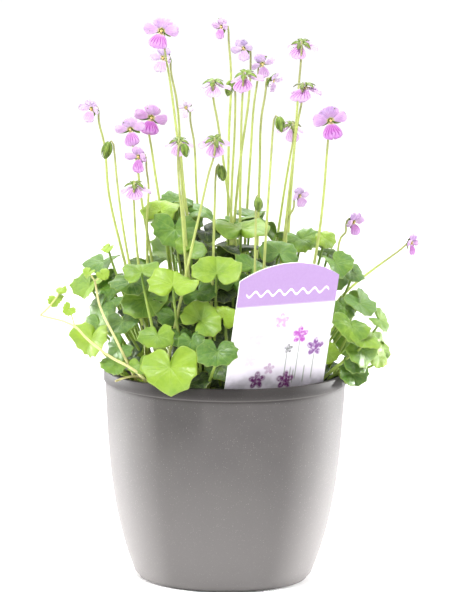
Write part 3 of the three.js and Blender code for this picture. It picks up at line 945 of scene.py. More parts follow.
# %% The stalk finish
def let_light_through(finish, colour, share):
    """Mixes a translucent part into a finish, as a leaf or petal lets light through."""
    nodes = finish.node_tree.nodes
    glow = nodes.new("ShaderNodeBsdfTranslucent")
    mix = nodes.new("ShaderNodeMixShader")
    mix.inputs["Fac"].default_value = share
    wire(finish, colour, glow.inputs["Color"])
    wire(finish, shader_of(finish).outputs[0], mix.inputs[1])
    wire(finish, glow.outputs[0], mix.inputs[2])
    wire(finish, mix.outputs[0], nodes["Material Output"].inputs["Surface"])
    return finish


def mark(add, name):
    """A number that was stored with the points of a piece."""
    return add("ShaderNodeAttribute", out=2, attribute_name=name)


def paint_stalk(name, foot, middle, neck, neck_from):
    finish, add = new_finish(name)
    calc, blend, ease = math_in(add)
    along = mark(add, "along")
    here = add("ShaderNodeTexCoord", out=3)
    low = blend(ease(along, 0.0, 0.45), foot, middle)
    drift = add("ShaderNodeTexNoise", here, None, 55.0, 2.0)
    reach = calc("ADD", along, calc("MULTIPLY", calc("SUBTRACT", drift, 0.5), 0.5))
    colour = blend(ease(reach, neck_from, neck_from + 0.3), low, neck)
    tone = use_group(finish, PATCHES, Scale=240.0, Low=(0.62, 0.62, 0.62, 1),
                     High=(1.0, 1.0, 1.0, 1), Spread=0.2)
    colour = blend(0.45, colour, tone["Color"], mode="MULTIPLY")
    grain = grain_of(finish, 1300.0, 0.4, 0.6)
    surface(finish, colour, grain, (0.2, 0.0002))
    return let_light_through(finish, colour, 0.3)


FLOWER_STALK = paint_stalk("flower_stalk", rgb(208, 218, 124), rgb(196, 208, 120),
                           rgb(164, 166, 112), 0.76)
LEAF_STALK = paint_stalk("leaf_stalk", rgb(212, 222, 146), rgb(160, 184, 84),
                         rgb(122, 158, 50), 0.7)


# %% Route and draw the flower and bud stalks
def rooted(route):
    """A route carried three millimetres down into the soil."""
    foot = route[0]
    return [foot - UP * 3 * MM] + list(route)


def crook(end, out):
    """The hook at the top of a stalk: up behind the flower, over, and into its back."""
    level = unit(out - UP * out[2])
    return [end - level * 2.4 * MM - UP * 6.5 * MM, end - level * 2.2 * MM - UP * 2.4 * MM,
            end - level * 1.7 * MM - UP * 0.2 * MM, end - level * 0.8 * MM + UP * 0.6 * MM,
            end + out * 0.4 * MM]


def flower_route(bloom):
    end = bloom["middle"] - bloom["out"] * HINGE * bloom["width"]
    route = rooted(bloom["route"])
    rise = unit(end - route[len(route) // 2])
    if rise[2] < 0.7:
        return route[:-2] + [end - rise * 3 * MM - UP * 0.6 * MM, end + bloom["out"] * 0.4 * MM]
    return route + crook(end, bloom["out"])


def bud_route(bud):
    end = bud["middle"] - bud["out"] * bud["length"] * 0.46
    level = unit(bud["out"] - UP * bud["out"][2])
    return rooted(bud["route"]) + [end - level * 2.6 * MM - UP * 3.4 * MM,
                                   end - level * 2.2 * MM - UP * 0.6 * MM,
                                   end - level * 1.1 * MM + UP * 0.9 * MM,
                                   end + bud["out"] * 0.6 * MM]


flower_stalks = smoothed(draw_stalks(
    "flower_stalks", [flower_route(bloom) for bloom in flowers.values()], FLOWER_STALK,
    foot=0.98, neck=0.5, wander=6, steps=60))
bud_stalks = smoothed(draw_stalks(
    "bud_stalks", [bud_route(bud) for bud in buds.values()], FLOWER_STALK,
    foot=0.9, neck=0.5, wander=5, steps=60, seed=5.0))
hand_over(flower_stalks, "leaf_green", *flowers)
hand_over(bud_stalks, "leaf_green", *buds)
print("stalks:", len(flower_stalks.data.polygons), "faces")

# %% [markdown]
# ## Flowers
# A violet bloom has five petals: two stand up, two spread to the sides, and a broader one hangs
# below. Each is a thin sheet with a narrow claw that rises out of the throat, widens, and curls
# at its end. Behind them five pointed green sepals make a star, and a short blunt spur sits at
# the back of the lowest petal. Every petal is one function of its own length, breadth and curl,
# so the sheets are built from grids, with a real thickness and closed edges.


# %% Closed thin sheets from grids
class Work:
    """Collects the closed parts of one piece before they become a mesh."""

    def __init__(self):
        self.points, self.faces, self.slots, self.uv = [], [], [], []
        self.values = {}

    def add(self, points, faces, slot, uv, **values):
        start = len(self.points)
        self.points.extend(points)
        self.faces.extend([tuple(start + k for k in face) for face in faces])
        self.slots.extend([slot] * len(faces))
        self.uv.extend(uv)
        for label, value in values.items():
            store = self.values.setdefault(label, [0.0] * start)
            store.extend(np.broadcast_to(value, len(points)))
        for store in self.values.values():
            store.extend([0.0] * (len(self.points) - len(store)))

    def piece(self, name, finishes):
        return as_mesh(name, self.points, self.faces, finishes, slots=self.slots, uv=self.uv,
                       **self.values)


def sheet(grid, thick, uv):
    """A closed thin shell from a grid of points: (points, faces, uv). It thins at its rim."""
    rows, columns, _ = grid.shape
    along = np.gradient(grid, axis=0)
    across = np.gradient(grid, axis=1)
    normal = np.cross(across, along)
    normal /= np.maximum(np.linalg.norm(normal, axis=2, keepdims=True), 1e-12)
    body = np.full((rows, columns, 1), 1.0)
    body[[0, -1], :] = 0.5
    body[:, [0, -1]] = 0.5
    top = grid + normal * body * thick / 2
    bottom = grid - normal * body * thick / 2
    points = np.concatenate([top.reshape(-1, 3), bottom.reshape(-1, 3)])
    size = rows * columns
    at = lambda r, c: r * columns + c
    faces = []
    for r in range(rows - 1):
        for c in range(columns - 1):
            quad = (at(r, c), at(r, c + 1), at(r + 1, c + 1), at(r + 1, c))
            faces.append(quad)
            faces.append(tuple(size + k for k in quad[::-1]))
    rim = ([at(0, c) for c in range(columns)] + [at(r, columns - 1) for r in range(1, rows)]
           + [at(rows - 1, c) for c in range(columns - 2, -1, -1)]
           + [at(r, 0) for r in range(rows - 2, 0, -1)])
    for here, there in zip(rim, rim[1:] + rim[:1]):
        faces.append((there, here, here + size, there + size))
    return points, faces, np.concatenate([uv.reshape(-1, 2)] * 2)


def turned_body(profile, sides, squash=1.0):
    """A closed body turned about its own axis from (radius, height) pairs; both ends at zero."""
    points, faces = [(0, 0, profile[0][1])], []
    for radius, height in profile[1:-1]:
        for k in range(sides):
            angle = 2 * math.pi * k / sides
            points.append((radius * math.cos(angle), squash * radius * math.sin(angle), height))
    points.append((0, 0, profile[-1][1]))
    rings = len(profile) - 2
    last = len(points) - 1
    for k in range(sides):
        nxt = (k + 1) % sides
        faces.append((0, 1 + nxt, 1 + k))
        for ring in range(rings - 1):
            low, high = 1 + ring * sides, 1 + (ring + 1) * sides
            faces.append((low + k, low + nxt, high + nxt, high + k))
        faces.append((last, last - sides + k, last - sides + nxt))
    return np.array(points), faces


# %% The shape of one petal and one sepal
def turned_axes(turn):
    """The ways along and across a petal that stands at this turn from upright."""
    return (np.array([math.sin(turn), math.cos(turn), 0]),
            np.array([math.cos(turn), -math.sin(turn), 0]))


def sheet_uv(u, v):
    """The map of a sheet: v across it and u along it, both from 0 to 1."""
    return np.stack(np.broadcast_arrays((v + 1) / 2, u), axis=-1)


def petal_grid(length, breadth, turn, lean, curl, cup, ripple, phase, notch=0.0):
    """A petal in its bloom's own frame: x across, y up and z out, all in shares of the bloom.
    It leaves the throat along lean, which is 0 for flat and 1 for straight forward, and curl
    bends its end back."""
    u = np.linspace(0, 1, 13)[:, None]
    v = np.linspace(-1, 1, 9)[None, :]
    shape = u ** 0.62 * np.sqrt(np.clip(1 - u ** 4.6, 0, 1)) / 0.87
    half = breadth * np.maximum(shape, 0.17 - 0.04 * u)
    rise = math.radians(78 * lean) - curl * u ** 1.6
    forward = np.cumsum(np.sin(rise) / 12, axis=0) * length
    outward = np.cumsum(np.cos(rise) / 12, axis=0) * length
    reach = 0.03 + outward - notch * length * u ** 3 * (1 - np.abs(v)) ** 2
    side = half * v * (1 - 0.10 * v ** 2 * u)
    out = (-0.15 + forward - cup * v ** 2 * u
           + ripple * u ** 1.3 * np.sin(3.4 * v + 5 * u + phase)
           + 0.6 * ripple * u ** 2 * np.sin(8 * v + phase * 2))
    along, across = turned_axes(turn)
    grid = reach[..., None] * along + side[..., None] * across
    grid[..., 2] += out
    return grid, sheet_uv(u, v)


def sepal_grid(length, breadth, turn, rise):
    u = np.linspace(0, 1, 7)[:, None]
    v = np.linspace(-1, 1, 5)[None, :]
    half = breadth * np.maximum((1 - u) ** 0.75 * (0.55 + 1.2 * u), 0.06)
    along, across = turned_axes(turn)
    reach = 0.05 + length * u + 0 * v
    grid = reach[..., None] * along + (half * v)[..., None] * across
    grid[..., 2] += -0.2 + rise * u ** 1.4 - 0.02 * np.abs(v) - 0.05 * np.sin(math.pi * u)
    return grid, sheet_uv(u, v)


# %% [markdown]
# The petals are close to white at the throat and pink to magenta in between, and towards
# their thin side edges they are painted paler, a painted highlight for the light that bleaches
# them there. Fine darker veins fan out along each one, strongest on the lowest petal. Each
# petal's own map runs across it and along it, so the veins follow its curl. The pinkness of each
# bloom, and the bluish cast of its upper petals, are stored with its points.


# %% The petal finish
def paint_petal():
    finish, add = new_finish("petal")
    calc, blend, ease = math_in(add)
    uv = add("ShaderNodeSeparateXYZ", add("ShaderNodeUVMap", uv_map="flat"))
    across, along = uv, uv.node.outputs[1]
    pink = mark(add, "pink")
    blue = mark(add, "blue")
    veined = mark(add, "veined")
    here = add("ShaderNodeTexCoord", out=3)
    cloud = add("ShaderNodeTexNoise", here, None, 420.0, 3.0)
    body = blend(pink, rgb(226, 212, 230), rgb(202, 134, 204))
    shaded = calc("MULTIPLY", ease(add("ShaderNodeTexNoise", here, None, 230.0, 2.0), 0.3, 0.6),
                  calc("MULTIPLY", blue, 0.9))
    body = blend(calc("MULTIPLY", shaded, 0.75), body, rgb(150, 122, 190))
    body = blend(calc("MULTIPLY", ease(cloud, 0.4, 0.7), 0.3), body, rgb(236, 222, 238))
    fan = calc("MULTIPLY", calc("SUBTRACT", across, 0.5),
               calc("DIVIDE", 26.0, calc("ADD", along, 0.75)))
    wobble = calc("MULTIPLY", calc("SUBTRACT", cloud, 0.5), 3.0)
    stripe = calc("SINE", calc("MULTIPLY", calc("ADD", fan, wobble), 2.2))
    lines = calc("MULTIPLY", ease(stripe, 0.25, 0.9),
                 calc("MULTIPLY", ease(along, 0.1, 0.3), ease(along, 0.98, 0.55)))
    deep = calc("MULTIPLY", calc("MULTIPLY", lines, veined), calc("MULTIPLY_ADD", pink, 0.5, 0.45))
    veins = blend(deep, body, rgb(130, 40, 140))
    flush = calc("MULTIPLY", calc("MULTIPLY", ease(along, 0.12, 0.3), ease(along, 0.8, 0.4)),
                 calc("MULTIPLY", veined, calc("MULTIPLY", pink, 0.4)))
    veins = blend(flush, veins, rgb(188, 72, 180))
    throat = blend(ease(along, 0.16, 0.05), veins, rgb(210, 204, 140))
    # Painted highlight: the petals are painted paler towards their side edges.
    rim = calc("MULTIPLY", ease(calc("ABSOLUTE", calc("SUBTRACT", across, 0.5)), 0.36, 0.5), 0.3)
    colour = blend(rim, throat, rgb(236, 220, 240))
    grain = grain_of(finish, 2600.0, 0.5, 0.7)
    relief = calc("ADD", calc("MULTIPLY", stripe, 0.4), grain["Height"])
    surface(finish, colour, grain, (0.25, 0.00015), relief, specular=0.3)
    return let_light_through(finish, colour, 0.36)


def paint_sepal():
    finish, add = new_finish("sepal_green")
    calc, blend, ease = math_in(add)
    uv = add("ShaderNodeSeparateXYZ", add("ShaderNodeUVMap", uv_map="flat"))
    across, along = uv, uv.node.outputs[1]
    brown = mark(add, "brown")
    tone = use_group(finish, PATCHES, Scale=500.0, Low=rgb(84, 116, 30), High=rgb(126, 156, 50),
                     Spread=0.2)
    keel = ease(calc("ABSOLUTE", calc("SUBTRACT", across, 0.5)), 0.10, 0.02)
    green = blend(calc("MULTIPLY", keel, 0.5), tone["Color"], rgb(172, 190, 92))
    rust = calc("MULTIPLY", brown, ease(along, 0.0, 0.7, 0.5, 1.0))
    colour = blend(rust, green, rgb(92, 84, 52))
    grain = grain_of(finish, 2200.0, 0.45, 0.65)
    surface(finish, colour, grain, (0.3, 0.0002), calc("ADD", keel, grain["Height"]))
    return let_light_through(finish, colour, 0.22)


def paint_anther():
    finish, _ = new_finish("anther_yellow")
    tone = use_group(finish, PATCHES, Scale=1500.0, Low=rgb(196, 160, 84),
                     High=rgb(222, 206, 140))
    return surface(finish, tone["Color"], grain_of(finish, 3000.0, 0.5, 0.8))


PETAL, SEPAL, ANTHER = paint_petal(), paint_sepal(), paint_anther()


# %% Build the flowers
# For each bloom: how pink it is, how blue its upper petals are, how brown its sepals are, how it
# is held, and how wide it is open. Held "open" it shows its face, "side" it is seen in profile,
# and "nod" it hangs over, with its sepals uppermost and its petals below them like a skirt.
BLOOM_LOOKS = {
    1: (0.75, 0.50, 0.2, "open", 1.0), 2: (0.15, 0.60, 0.0, "side", 0.95),
    3: (0.55, 0.40, 0.3, "side", 0.9), 4: (0.15, 0.90, 0.2, "side", 0.95),
    5: (0.25, 0.10, 0.10, "nod", 0.9), 6: (0.55, 0.10, 0.15, "nod", 1.0),
    7: (0.35, 0.70, 0.3, "open", 0.9), 8: (0.15, 0.30, 0.0, "side", 0.85),
    9: (0.45, 0.10, 0.45, "nod", 1.05), 10: (0.5, 0.40, 0.6, "nod", 1.1),
    11: (0.9, 0.60, 0.2, "open", 1.05), 12: (0.3, 0.20, 0.8, "nod", 0.9),
    13: (0.25, 0.35, 0.0, "side", 0.95), 14: (0.6, 0.35, 0.2, "open", 0.9),
    15: (0.95, 0.30, 0.2, "open", 1.0), 16: (0.7, 0.35, 0.2, "side", 1.0),
    17: (0.4, 0.20, 0.35, "nod", 1.05), 18: (0.3, 0.40, 0.4, "nod", 1.0),
    19: (0.45, 0.30, 0.35, "nod", 1.05), 20: (0.0, 0.0, 0.0, "side", 0.7),
    21: (0.35, 0.70, 0.5, "side", 1.0), 22: (0.65, 0.50, 0.6, "side", 1.0),
    23: (0.8, 0.60, 0.3, "side", 1.0),
}
# For each petal: its kind, its turn from upright, its length and half its breadth.
PETALS = (("upper", 27, 0.38, 0.23), ("upper", -27, 0.38, 0.23), ("side", 84, 0.49, 0.22),
          ("side", -84, 0.49, 0.22), ("low", 180, 0.54, 0.37))
# How far each kind of petal leans forward and curls back, for each way a bloom is held.
HELD = {
    "open": {"upper": (0.30, 1.30), "side": (0.30, 0.75), "low": (0.42, 0.45)},
    "side": {"upper": (0.40, 1.15), "side": (0.55, 0.85), "low": (0.60, 0.60)},
    "nod": {"upper": (0.42, 0.30), "side": (0.42, 0.25), "low": (0.50, 0.15)},
}
# How many degrees each is turned from the way the frame faces it: tipped down, give or take a few,
# rolled, and for those in profile brought round toward the front.
TIPPED = {"open": 8, "side": 14, "nod": 56}
TIP_SPREAD, ROLL_SPREAD, ROUND_FRONT = 6, 14, 34
# A nodding bloom hangs fuller than the others by this factor.
NOD_FULLER = 1.14


def faced(bloom, held, draw):
    """The bloom's own axes once it is tipped, hinged where its stalk joins."""
    out, up = Vector(bloom["out"]), Vector(bloom["up"])
    across = up.cross(out)
    tip = Matrix.Rotation(math.radians(TIPPED[held] + draw.uniform(-TIP_SPREAD, TIP_SPREAD)), 3, across)
    out, up = tip @ out, tip @ up
    up = Matrix.Rotation(math.radians(draw.uniform(-ROLL_SPREAD, ROLL_SPREAD)), 3, out) @ up
    if held == "side" and abs(out.x) > 0.8:
        turn = math.copysign(math.radians(ROUND_FRONT), -out.x)
        round_front = Matrix.Rotation(turn, 3, "Z")
        out, up = round_front @ out, round_front @ up
    hinge = bloom["middle"] - bloom["out"] * HINGE * bloom["width"]
    return {**bloom, "out": np.array(out), "up": np.array(up),
            "middle": hinge + np.array(out) * HINGE * bloom["width"]}


def build_flower(node, bloom):
    pink, blue, brown, held, spread = BLOOM_LOOKS[int(node[-2:])]
    draw = random.Random(node)
    work = Work()
    full = NOD_FULLER if held == "nod" else 1.0
    for kind, degrees, length, breadth in PETALS:
        turn = math.radians(degrees + draw.uniform(-8, 8))
        length, breadth = length * full, breadth * full
        lean, curl = HELD[held][kind]
        grid, uv = petal_grid(length * draw.uniform(0.9, 1.06) * (0.8 + 0.2 * spread),
                              breadth * spread * draw.uniform(0.9, 1.08), turn,
                              lean + draw.uniform(-0.08, 0.08), curl * draw.uniform(0.7, 1.35),
                              draw.uniform(0.02, 0.10), draw.uniform(0.014, 0.036),
                              draw.uniform(0, 6), notch=0.10 if kind == "low" else 0.03)
        points, faces, uv = sheet(grid, 0.020, uv)
        work.add(points, faces, 0, uv, pink=min(1.0, pink * (1.1 if kind == "low" else 0.6)),
                 blue=blue if kind == "upper" else blue * 0.35,
                 veined=1.0 if kind == "low" else 0.4)
    for k in range(5):
        turn = math.radians(36 + 72 * k + draw.uniform(-8, 8))
        rise = draw.uniform(0.05, 0.12) if held == "nod" else draw.uniform(0.06, 0.14)
        grid, uv = sepal_grid(0.30 * full * draw.uniform(0.9, 1.12), 0.11 * full, turn, rise)
        points, faces, uv = sheet(grid, 0.024, uv)
        work.add(points, faces, 1, uv, brown=brown * draw.uniform(0.5, 1.2))
    cup, faces = turned_body([(0, -0.29), (0.05, -0.28), (0.085, -0.24), (0.09, -0.19),
                              (0.05, -0.15), (0, -0.145)], 10)
    work.add(cup, faces, 1, np.full((len(cup), 2), 0.3), brown=brown * 0.5)
    spur, faces = turned_body([(0, -0.30), (0.035, -0.29), (0.05, -0.25), (0.05, -0.19),
                               (0.03, -0.14), (0, -0.135)], 8)
    spur[:, 1] -= 0.075
    work.add(spur, faces, 0, np.full((len(spur), 2), 0.3), pink=pink * 0.5, blue=blue, veined=0.1)
    heart, faces = turned_body([(0, -0.15), (0.035, -0.13), (0.042, -0.08), (0.03, -0.045),
                                (0.012, -0.03), (0, -0.028)], 8)
    heart[:, 1] -= 0.01
    work.add(heart, faces, 2, np.full((len(heart), 2), 0.5))
    bloom = faced(bloom, held, draw)
    local = np.array(work.points) * bloom["width"]
    across = np.cross(bloom["up"], bloom["out"])
    work.points = list(bloom["middle"] + local @ np.array([across, bloom["up"], bloom["out"]]))
    return hand_over(work.piece(node + "_bloom", [PETAL, SEPAL, ANTHER]), "petal", node)


blooms = [build_flower(node, bloom) for node, bloom in flowers.items()]
print("flowers:", len(blooms), "blooms of", len(blooms[0].data.polygons), "faces")

# %% [markdown]
# ## Buds
# A violet bud hangs from the crook of its stalk with its point down. Five pointed sepals wrap a
# slim green cone of rolled petals, each lapping over the next, which gives the bud its ribs.


# %% The buds
def wrapped_sepal(turn, lap):
    """A sepal bent round a bud, in shares of the bud's length: it widens low, then points."""
    u = np.linspace(0, 1, 11)[:, None]
    v = np.linspace(-1, 1, 7)[None, :]
    belly = 0.27 * np.sin(math.pi * np.clip(0.06 + 0.9 * u, 0, 1)) ** 0.62 + 0.012 + lap
    angle = turn + v * 0.72 * np.maximum((1 - u ** 1.6) ** 0.8, 0.08) + 0.25 * u
    z = -0.5 + 0.93 * u + 0 * v
    ridge = 1 + 0.07 * (1 - np.abs(v)) ** 2
    grid = np.stack([belly * ridge * np.cos(angle), belly * ridge * np.sin(angle), z], axis=-1)
    return grid, sheet_uv(u, v)


def build_bud(node, bud):
    draw = random.Random(node)
    work = Work()
    for k in range(5):
        grid, uv = wrapped_sepal(2 * math.pi * k / 5 + draw.uniform(-0.1, 0.1), 0.006 * (k % 2))
        points, faces, uv = sheet(grid, 0.022, uv)
        work.add(points, faces, 1, uv, brown=draw.uniform(0.0, 0.25))
    core, faces = turned_body([(0, -0.47), (0.12, -0.44), (0.21, -0.3), (0.245, -0.1),
                               (0.22, 0.1), (0.16, 0.27), (0.09, 0.42), (0, 0.5)], 12)
    work.add(core, faces, 1, np.full((len(core), 2), 0.25), brown=0.35)
    out = bud["out"]
    across = unit(np.cross(UP, out))
    turn = np.array([across, np.cross(out, across), out])
    work.points = list(bud["middle"] + np.array(work.points) * bud["length"] @ turn)
    return hand_over(work.piece(node + "_wrapped", [PETAL, SEPAL]), "bud_green", node)


wrapped = [build_bud(node, bud) for node, bud in buds.items()]
print("buds:", len(wrapped))

# %% [markdown]
# ## Leaves
# The leaves are kidney-shaped, shallowly scalloped, and dished where the petiole meets them at
# a notch. Five to seven veins fan out from that joint and sink into the blade, and the tissue
# between them swells. Young ones are yellow-green and bright, older ones deeper and bluish. The
# blade is one function: rings of points round the joint, out to the scalloped edge, with a
# skin on both sides. Copying one leaf would show, so each gets its own dish, fold and wave.

# %% The leaf blade's shape
LEAF_SIDES = 84
LEAF_RINGS = (0.05, 0.16, 0.3, 0.44, 0.58, 0.71, 0.83, 0.93, 1.0)
VEIN_STEP = math.radians(38.5)


def leaf_blade(draw, fold=0.1, wave=1.0):
    """A blade in shares of its width, with its joint at the origin and its tip at +y."""
    around = np.linspace(0, 2 * math.pi, LEAF_SIDES, endpoint=False)[None, :] - math.pi / 2
    rho = np.array(LEAF_RINGS)[:, None]
    from_tip = np.arctan2(np.cos(around), np.sin(around))
    from_notch = math.pi - np.abs(from_tip)
    notch = np.exp(-(from_notch / math.radians(18)) ** 2)
    teeth = draw.choice((9, 11, 11, 13))
    tooth = np.abs(np.sin(teeth / 2 * (from_tip + 0.10 * np.sin(3 * from_tip
                                                                  + draw.uniform(0, 6)))))
    scallop = 1 - draw.uniform(0.07, 0.13) * tooth ** 0.85 * (1 - notch)
    uneven = 1 + 0.05 * np.sin(2 * around + draw.uniform(0, 6)) + 0.045 * np.sin(
        3 * around + draw.uniform(0, 6))
    reach = 0.5 * (1 + 0.05 * np.cos(2 * around)) * (1 - 0.86 * notch) * scallop * uneven
    x = rho * reach * np.cos(around) * 1.06
    y = rho * reach * np.sin(around) * draw.uniform(0.86, 0.98)
    dish = draw.uniform(0.03, 0.07)
    z = -dish * (1 - rho ** 1.3) - 0.10 * rho ** 3.5 * draw.uniform(0.1, 1.3)
    z = z + wave * rho ** 1.6 * (
        draw.uniform(0.03, 0.07) * np.sin(2 * from_tip + draw.uniform(0, 6))
        + draw.uniform(0.03, 0.055) * np.sin(3 * from_tip + draw.uniform(0, 6))
        + draw.uniform(0.008, 0.018) * np.sin(7 * from_tip + draw.uniform(0, 6)))
    z = z + fold * 1.6 * np.abs(x) - draw.uniform(0.0, 0.8) * np.maximum(y, 0) ** 2
    off_vein = np.abs((np.abs(from_tip) / VEIN_STEP + 0.5) % 1 - 0.5) * VEIN_STEP * rho * 0.5
    z = z - 0.007 * np.exp(-(off_vein / 0.03) ** 2) * (1 - 0.5 * rho) * (from_notch > 0.6)
    z = z + 0.008 * np.sin(math.pi * rho) * np.cos(off_vein * 20)
    x, y, z = np.broadcast_arrays(x, y, z)
    return x, y, z, np.broadcast_to(rho, x.shape)


def add_leaf(work, leaf, seed, tone, fold=0.1, thick=0.34 * MM):
    """Adds a closed leaf at its place: top and under skins, joined round the scalloped edge."""
    draw = random.Random(seed)
    width = leaf["width"]
    x, y, z, rho = leaf_blade(draw, fold)
    rings, sides = x.shape
    flat = np.stack([x, y, z], axis=-1).reshape(-1, 3)
    hub = np.array([[0, 0, z[0].mean() - 0.004]])
    top = np.vstack([flat, hub]) * width
    under = top - np.array([0, 0, thick])
    size = len(top)
    faces = []
    for r in range(rings - 1):
        for k in range(sides):
            nxt = (k + 1) % sides
            quad = (r * sides + k, (r + 1) * sides + k, (r + 1) * sides + nxt, r * sides + nxt)
            faces.append(quad)
            faces.append(tuple(size + q for q in quad[::-1]))
    edge = (rings - 1) * sides
    for k in range(sides):
        nxt = (k + 1) % sides
        faces.append((size - 1, k, nxt))
        faces.append((2 * size - 1, size + nxt, size + k))
        faces.append((edge + k, edge + k + size, edge + nxt + size, edge + nxt))
    side = np.cross(leaf["tip"], leaf["out"])
    place = np.array([side, leaf["tip"], leaf["out"]])
    points = leaf["joint"] + np.vstack([top, under]) @ place
    uv = np.vstack([top, under])[:, :2] / width + 0.5
    ring = np.append(rho.ravel(), 0.0)
    work.add(points, faces, 0, uv, tone=tone, ring=np.tile(ring, 2),
             under=np.repeat([0.0, 1.0], size))


# %% The leaf finish
def build_veins():
    """Veins fanning out from the joint: a mask of the main ones, one of the fine net."""
    tree, add, given, end = shade_group(
        "leaf_veins", [("Place", "Vector", None), ("Step", "Float", VEIN_STEP)],
        [("Main", "Float"), ("Net", "Float")])
    calc, _, ease = math_in(add)
    centred = add("ShaderNodeVectorMath", given["Place"], (0.5, 0.5, 0.0), operation="SUBTRACT")
    parts = add("ShaderNodeSeparateXYZ", centred)
    x, y = parts, parts.node.outputs[1]
    reach = calc("SQRT", calc("ADD", calc("MULTIPLY", x, x), calc("MULTIPLY", y, y)))
    bend = calc("MULTIPLY", calc("SUBTRACT", add("ShaderNodeTexNoise", centred, None, 7.0, 1.0),
                                 0.5), 0.16)
    angle = calc("ABSOLUTE", calc("ADD", calc("ARCTAN2", x, y), bend))
    half = calc("MULTIPLY", given["Step"], 0.5)
    gap = calc("PINGPONG", angle, half)
    off = calc("MULTIPLY", gap, reach)
    wide = calc("MULTIPLY_ADD", reach, -0.016, 0.013)
    main = calc("SMOOTH_MIN", calc("MULTIPLY", ease(calc("SUBTRACT", wide, off), -0.004, 0.006),
                                   ease(angle, 2.55, 2.3)), 1.0, 0.0)
    rise = calc("SUBTRACT", calc("MULTIPLY", reach, 70.0), calc("MULTIPLY", gap, 26.0))
    ribs = ease(calc("SINE", rise), 0.86, 1.0)
    cells = add("ShaderNodeTexVoronoi", centred, None, 34.0, feature="DISTANCE_TO_EDGE")
    net = calc("MAXIMUM", calc("MULTIPLY", ribs, 0.8), ease(cells, 0.07, 0.0))
    tree.links.new(main, end.inputs["Main"])
    tree.links.new(net, end.inputs["Net"])
    return tree


VEINS = build_veins()


def paint_leaf():
    finish, add = new_finish("leaf_green")
    calc, blend, ease = math_in(add)
    uv = add("ShaderNodeUVMap", uv_map="flat")
    here = add("ShaderNodeTexCoord", out=3)
    tone = mark(add, "tone")
    ring = mark(add, "ring")
    under = mark(add, "under")
    veins = use_group(finish, VEINS, Place=uv)
    cloud = add("ShaderNodeTexNoise", here, None, 130.0, 3.0)
    mood = calc("ADD", tone, calc("MULTIPLY", calc("SUBTRACT", cloud, 0.5), 0.55))
    # The lowest tones give the darkest greens; the deep leaves reach them through the painted shade in
    # their tone.
    low = blend(ease(mood, -0.45, 0.46), rgb(18, 42, 10), rgb(76, 120, 30))
    colour = blend(ease(mood, 0.42, 1.05), low, rgb(144, 176, 30))
    speck = use_group(finish, PATCHES, Scale=520.0, Low=BLACK, High=WHITE,
                      Spread=0.1)
    # Painted sheen: pale whitish patches that stand for glossy highlights on the leaves.
    sheen_patches = ease(add("ShaderNodeTexNoise", here, None, 48.0, 3.0), 0.45, 0.75)
    for cover, amount, shade in (
            (sheen_patches, 0.18, rgb(150, 186, 120)), (speck["Mask"], 0.12, rgb(160, 190, 70)),
            (veins["Net"], 0.07, rgb(150, 184, 70)), (veins["Main"], 0.13, rgb(172, 200, 90)),
            (ease(ring, 0.95, 1.0), 0.35, rgb(176, 190, 84)), (under, 0.30, rgb(150, 178, 92))):
        colour = blend(calc("MULTIPLY", cover, amount), colour, shade)
    grain = grain_of(finish, 1500.0, 0.28, 0.46)
    relief = calc("SUBTRACT", calc("MULTIPLY", grain["Height"], 0.35),
                  calc("ADD", calc("MULTIPLY", veins["Main"], 0.4),
                       calc("MULTIPLY", veins["Net"], 0.22)))
    surface(finish, colour, grain, (0.5, 0.0004), relief, specular=0.6)
    return let_light_through(finish, colour, 0.2)


LEAF = paint_leaf()

# %% Build the leaves that the frame names
# How bright and yellow each leaf is, from 0 for old and bluish to 1 for young, and its fold.
LEAF_LOOKS = {
    1: (0.85, 0.04), 2: (0.72, 0.02), 3: (0.74, 0.10), 4: (0.25, 0.12), 5: (0.92, 0.05),
    6: (0.88, 0.14), 7: (0.70, 0.10), 8: (0.6, 0.05), 9: (0.80, 0.20), 10: (0.5, 0.12),
    11: (0.5, 0.10), 12: (0.9, 0.06), 13: (0.50, 0.04), 14: (0.7, 0.08), 15: (0.40, 0.12),
    16: (0.62, 0.22), 17: (0.58, 0.10), 18: (0.30, 0.12), 19: (0.66, 0.12), 20: (0.72, 0.06),
    21: (0.60, 0.08), 22: (0.80, 0.05), 23: (0.74, 0.10), 24: (0.34, 0.04), 25: (0.88, 0.10),
    26: (0.55, 0.10), 27: (0.48, 0.10),
}
for node, leaf in leaves.items():
    tone, fold = LEAF_LOOKS[int(node[-2:])]
    work = Work()
    add_leaf(work, leaf, node, tone, fold)
    hand_over(work.piece(node + "_blade", [LEAF]), "leaf_green", node)
print("leaves named in the frame:", len(leaves))

# %% [markdown]
# The frame names the leaves that stand out. The real mound has many more: small ones tucked
# between those, a deeper layer that hides the stalks, painted darker the deeper it lies as
# painted shade, and as many on the far side. They are all placed from the named ones: between
# two neighbours, below and behind one, or across the pot from one.

# %% Place the leaves between, behind and across
SOIL_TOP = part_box("potting_soil")[1].z
SOIL_ROOM = 50 * MM


def spun(leaf, degrees):
    """The same leaf turned in its own plane."""
    turn = np.array(Matrix.Rotation(math.radians(degrees), 3, Vector(leaf["out"])))
    return {**leaf, "tip": turn @ leaf["tip"]}


def leaf_route(joint, out, width, pull=0.6):
    """A route for an unnamed leaf's petiole: out of the soil nearer the middle, then up."""
    foot = np.array([joint[0] * pull, joint[1] * pull, SOIL_TOP - 3.5 * MM])
    reach = math.hypot(foot[0], foot[1])
    if reach > SOIL_ROOM:
        foot[:2] *= SOIL_ROOM / reach
    under = joint - out * (0.07 * width + 4 * MM) - UP * 2.5 * MM
    return [foot, foot + (under - foot) * 0.35 + UP * 2 * MM, foot + (under - foot) * 0.7 + UP * MM,
            under]


def new_leaf(joint, out, tip, width, pull=0.6):
    out = unit(out)
    tip = unit(tip - out * (tip @ out))
    return {"joint": joint, "out": out, "tip": tip, "width": width,
            "route": leaf_route(joint, out, width, pull)}


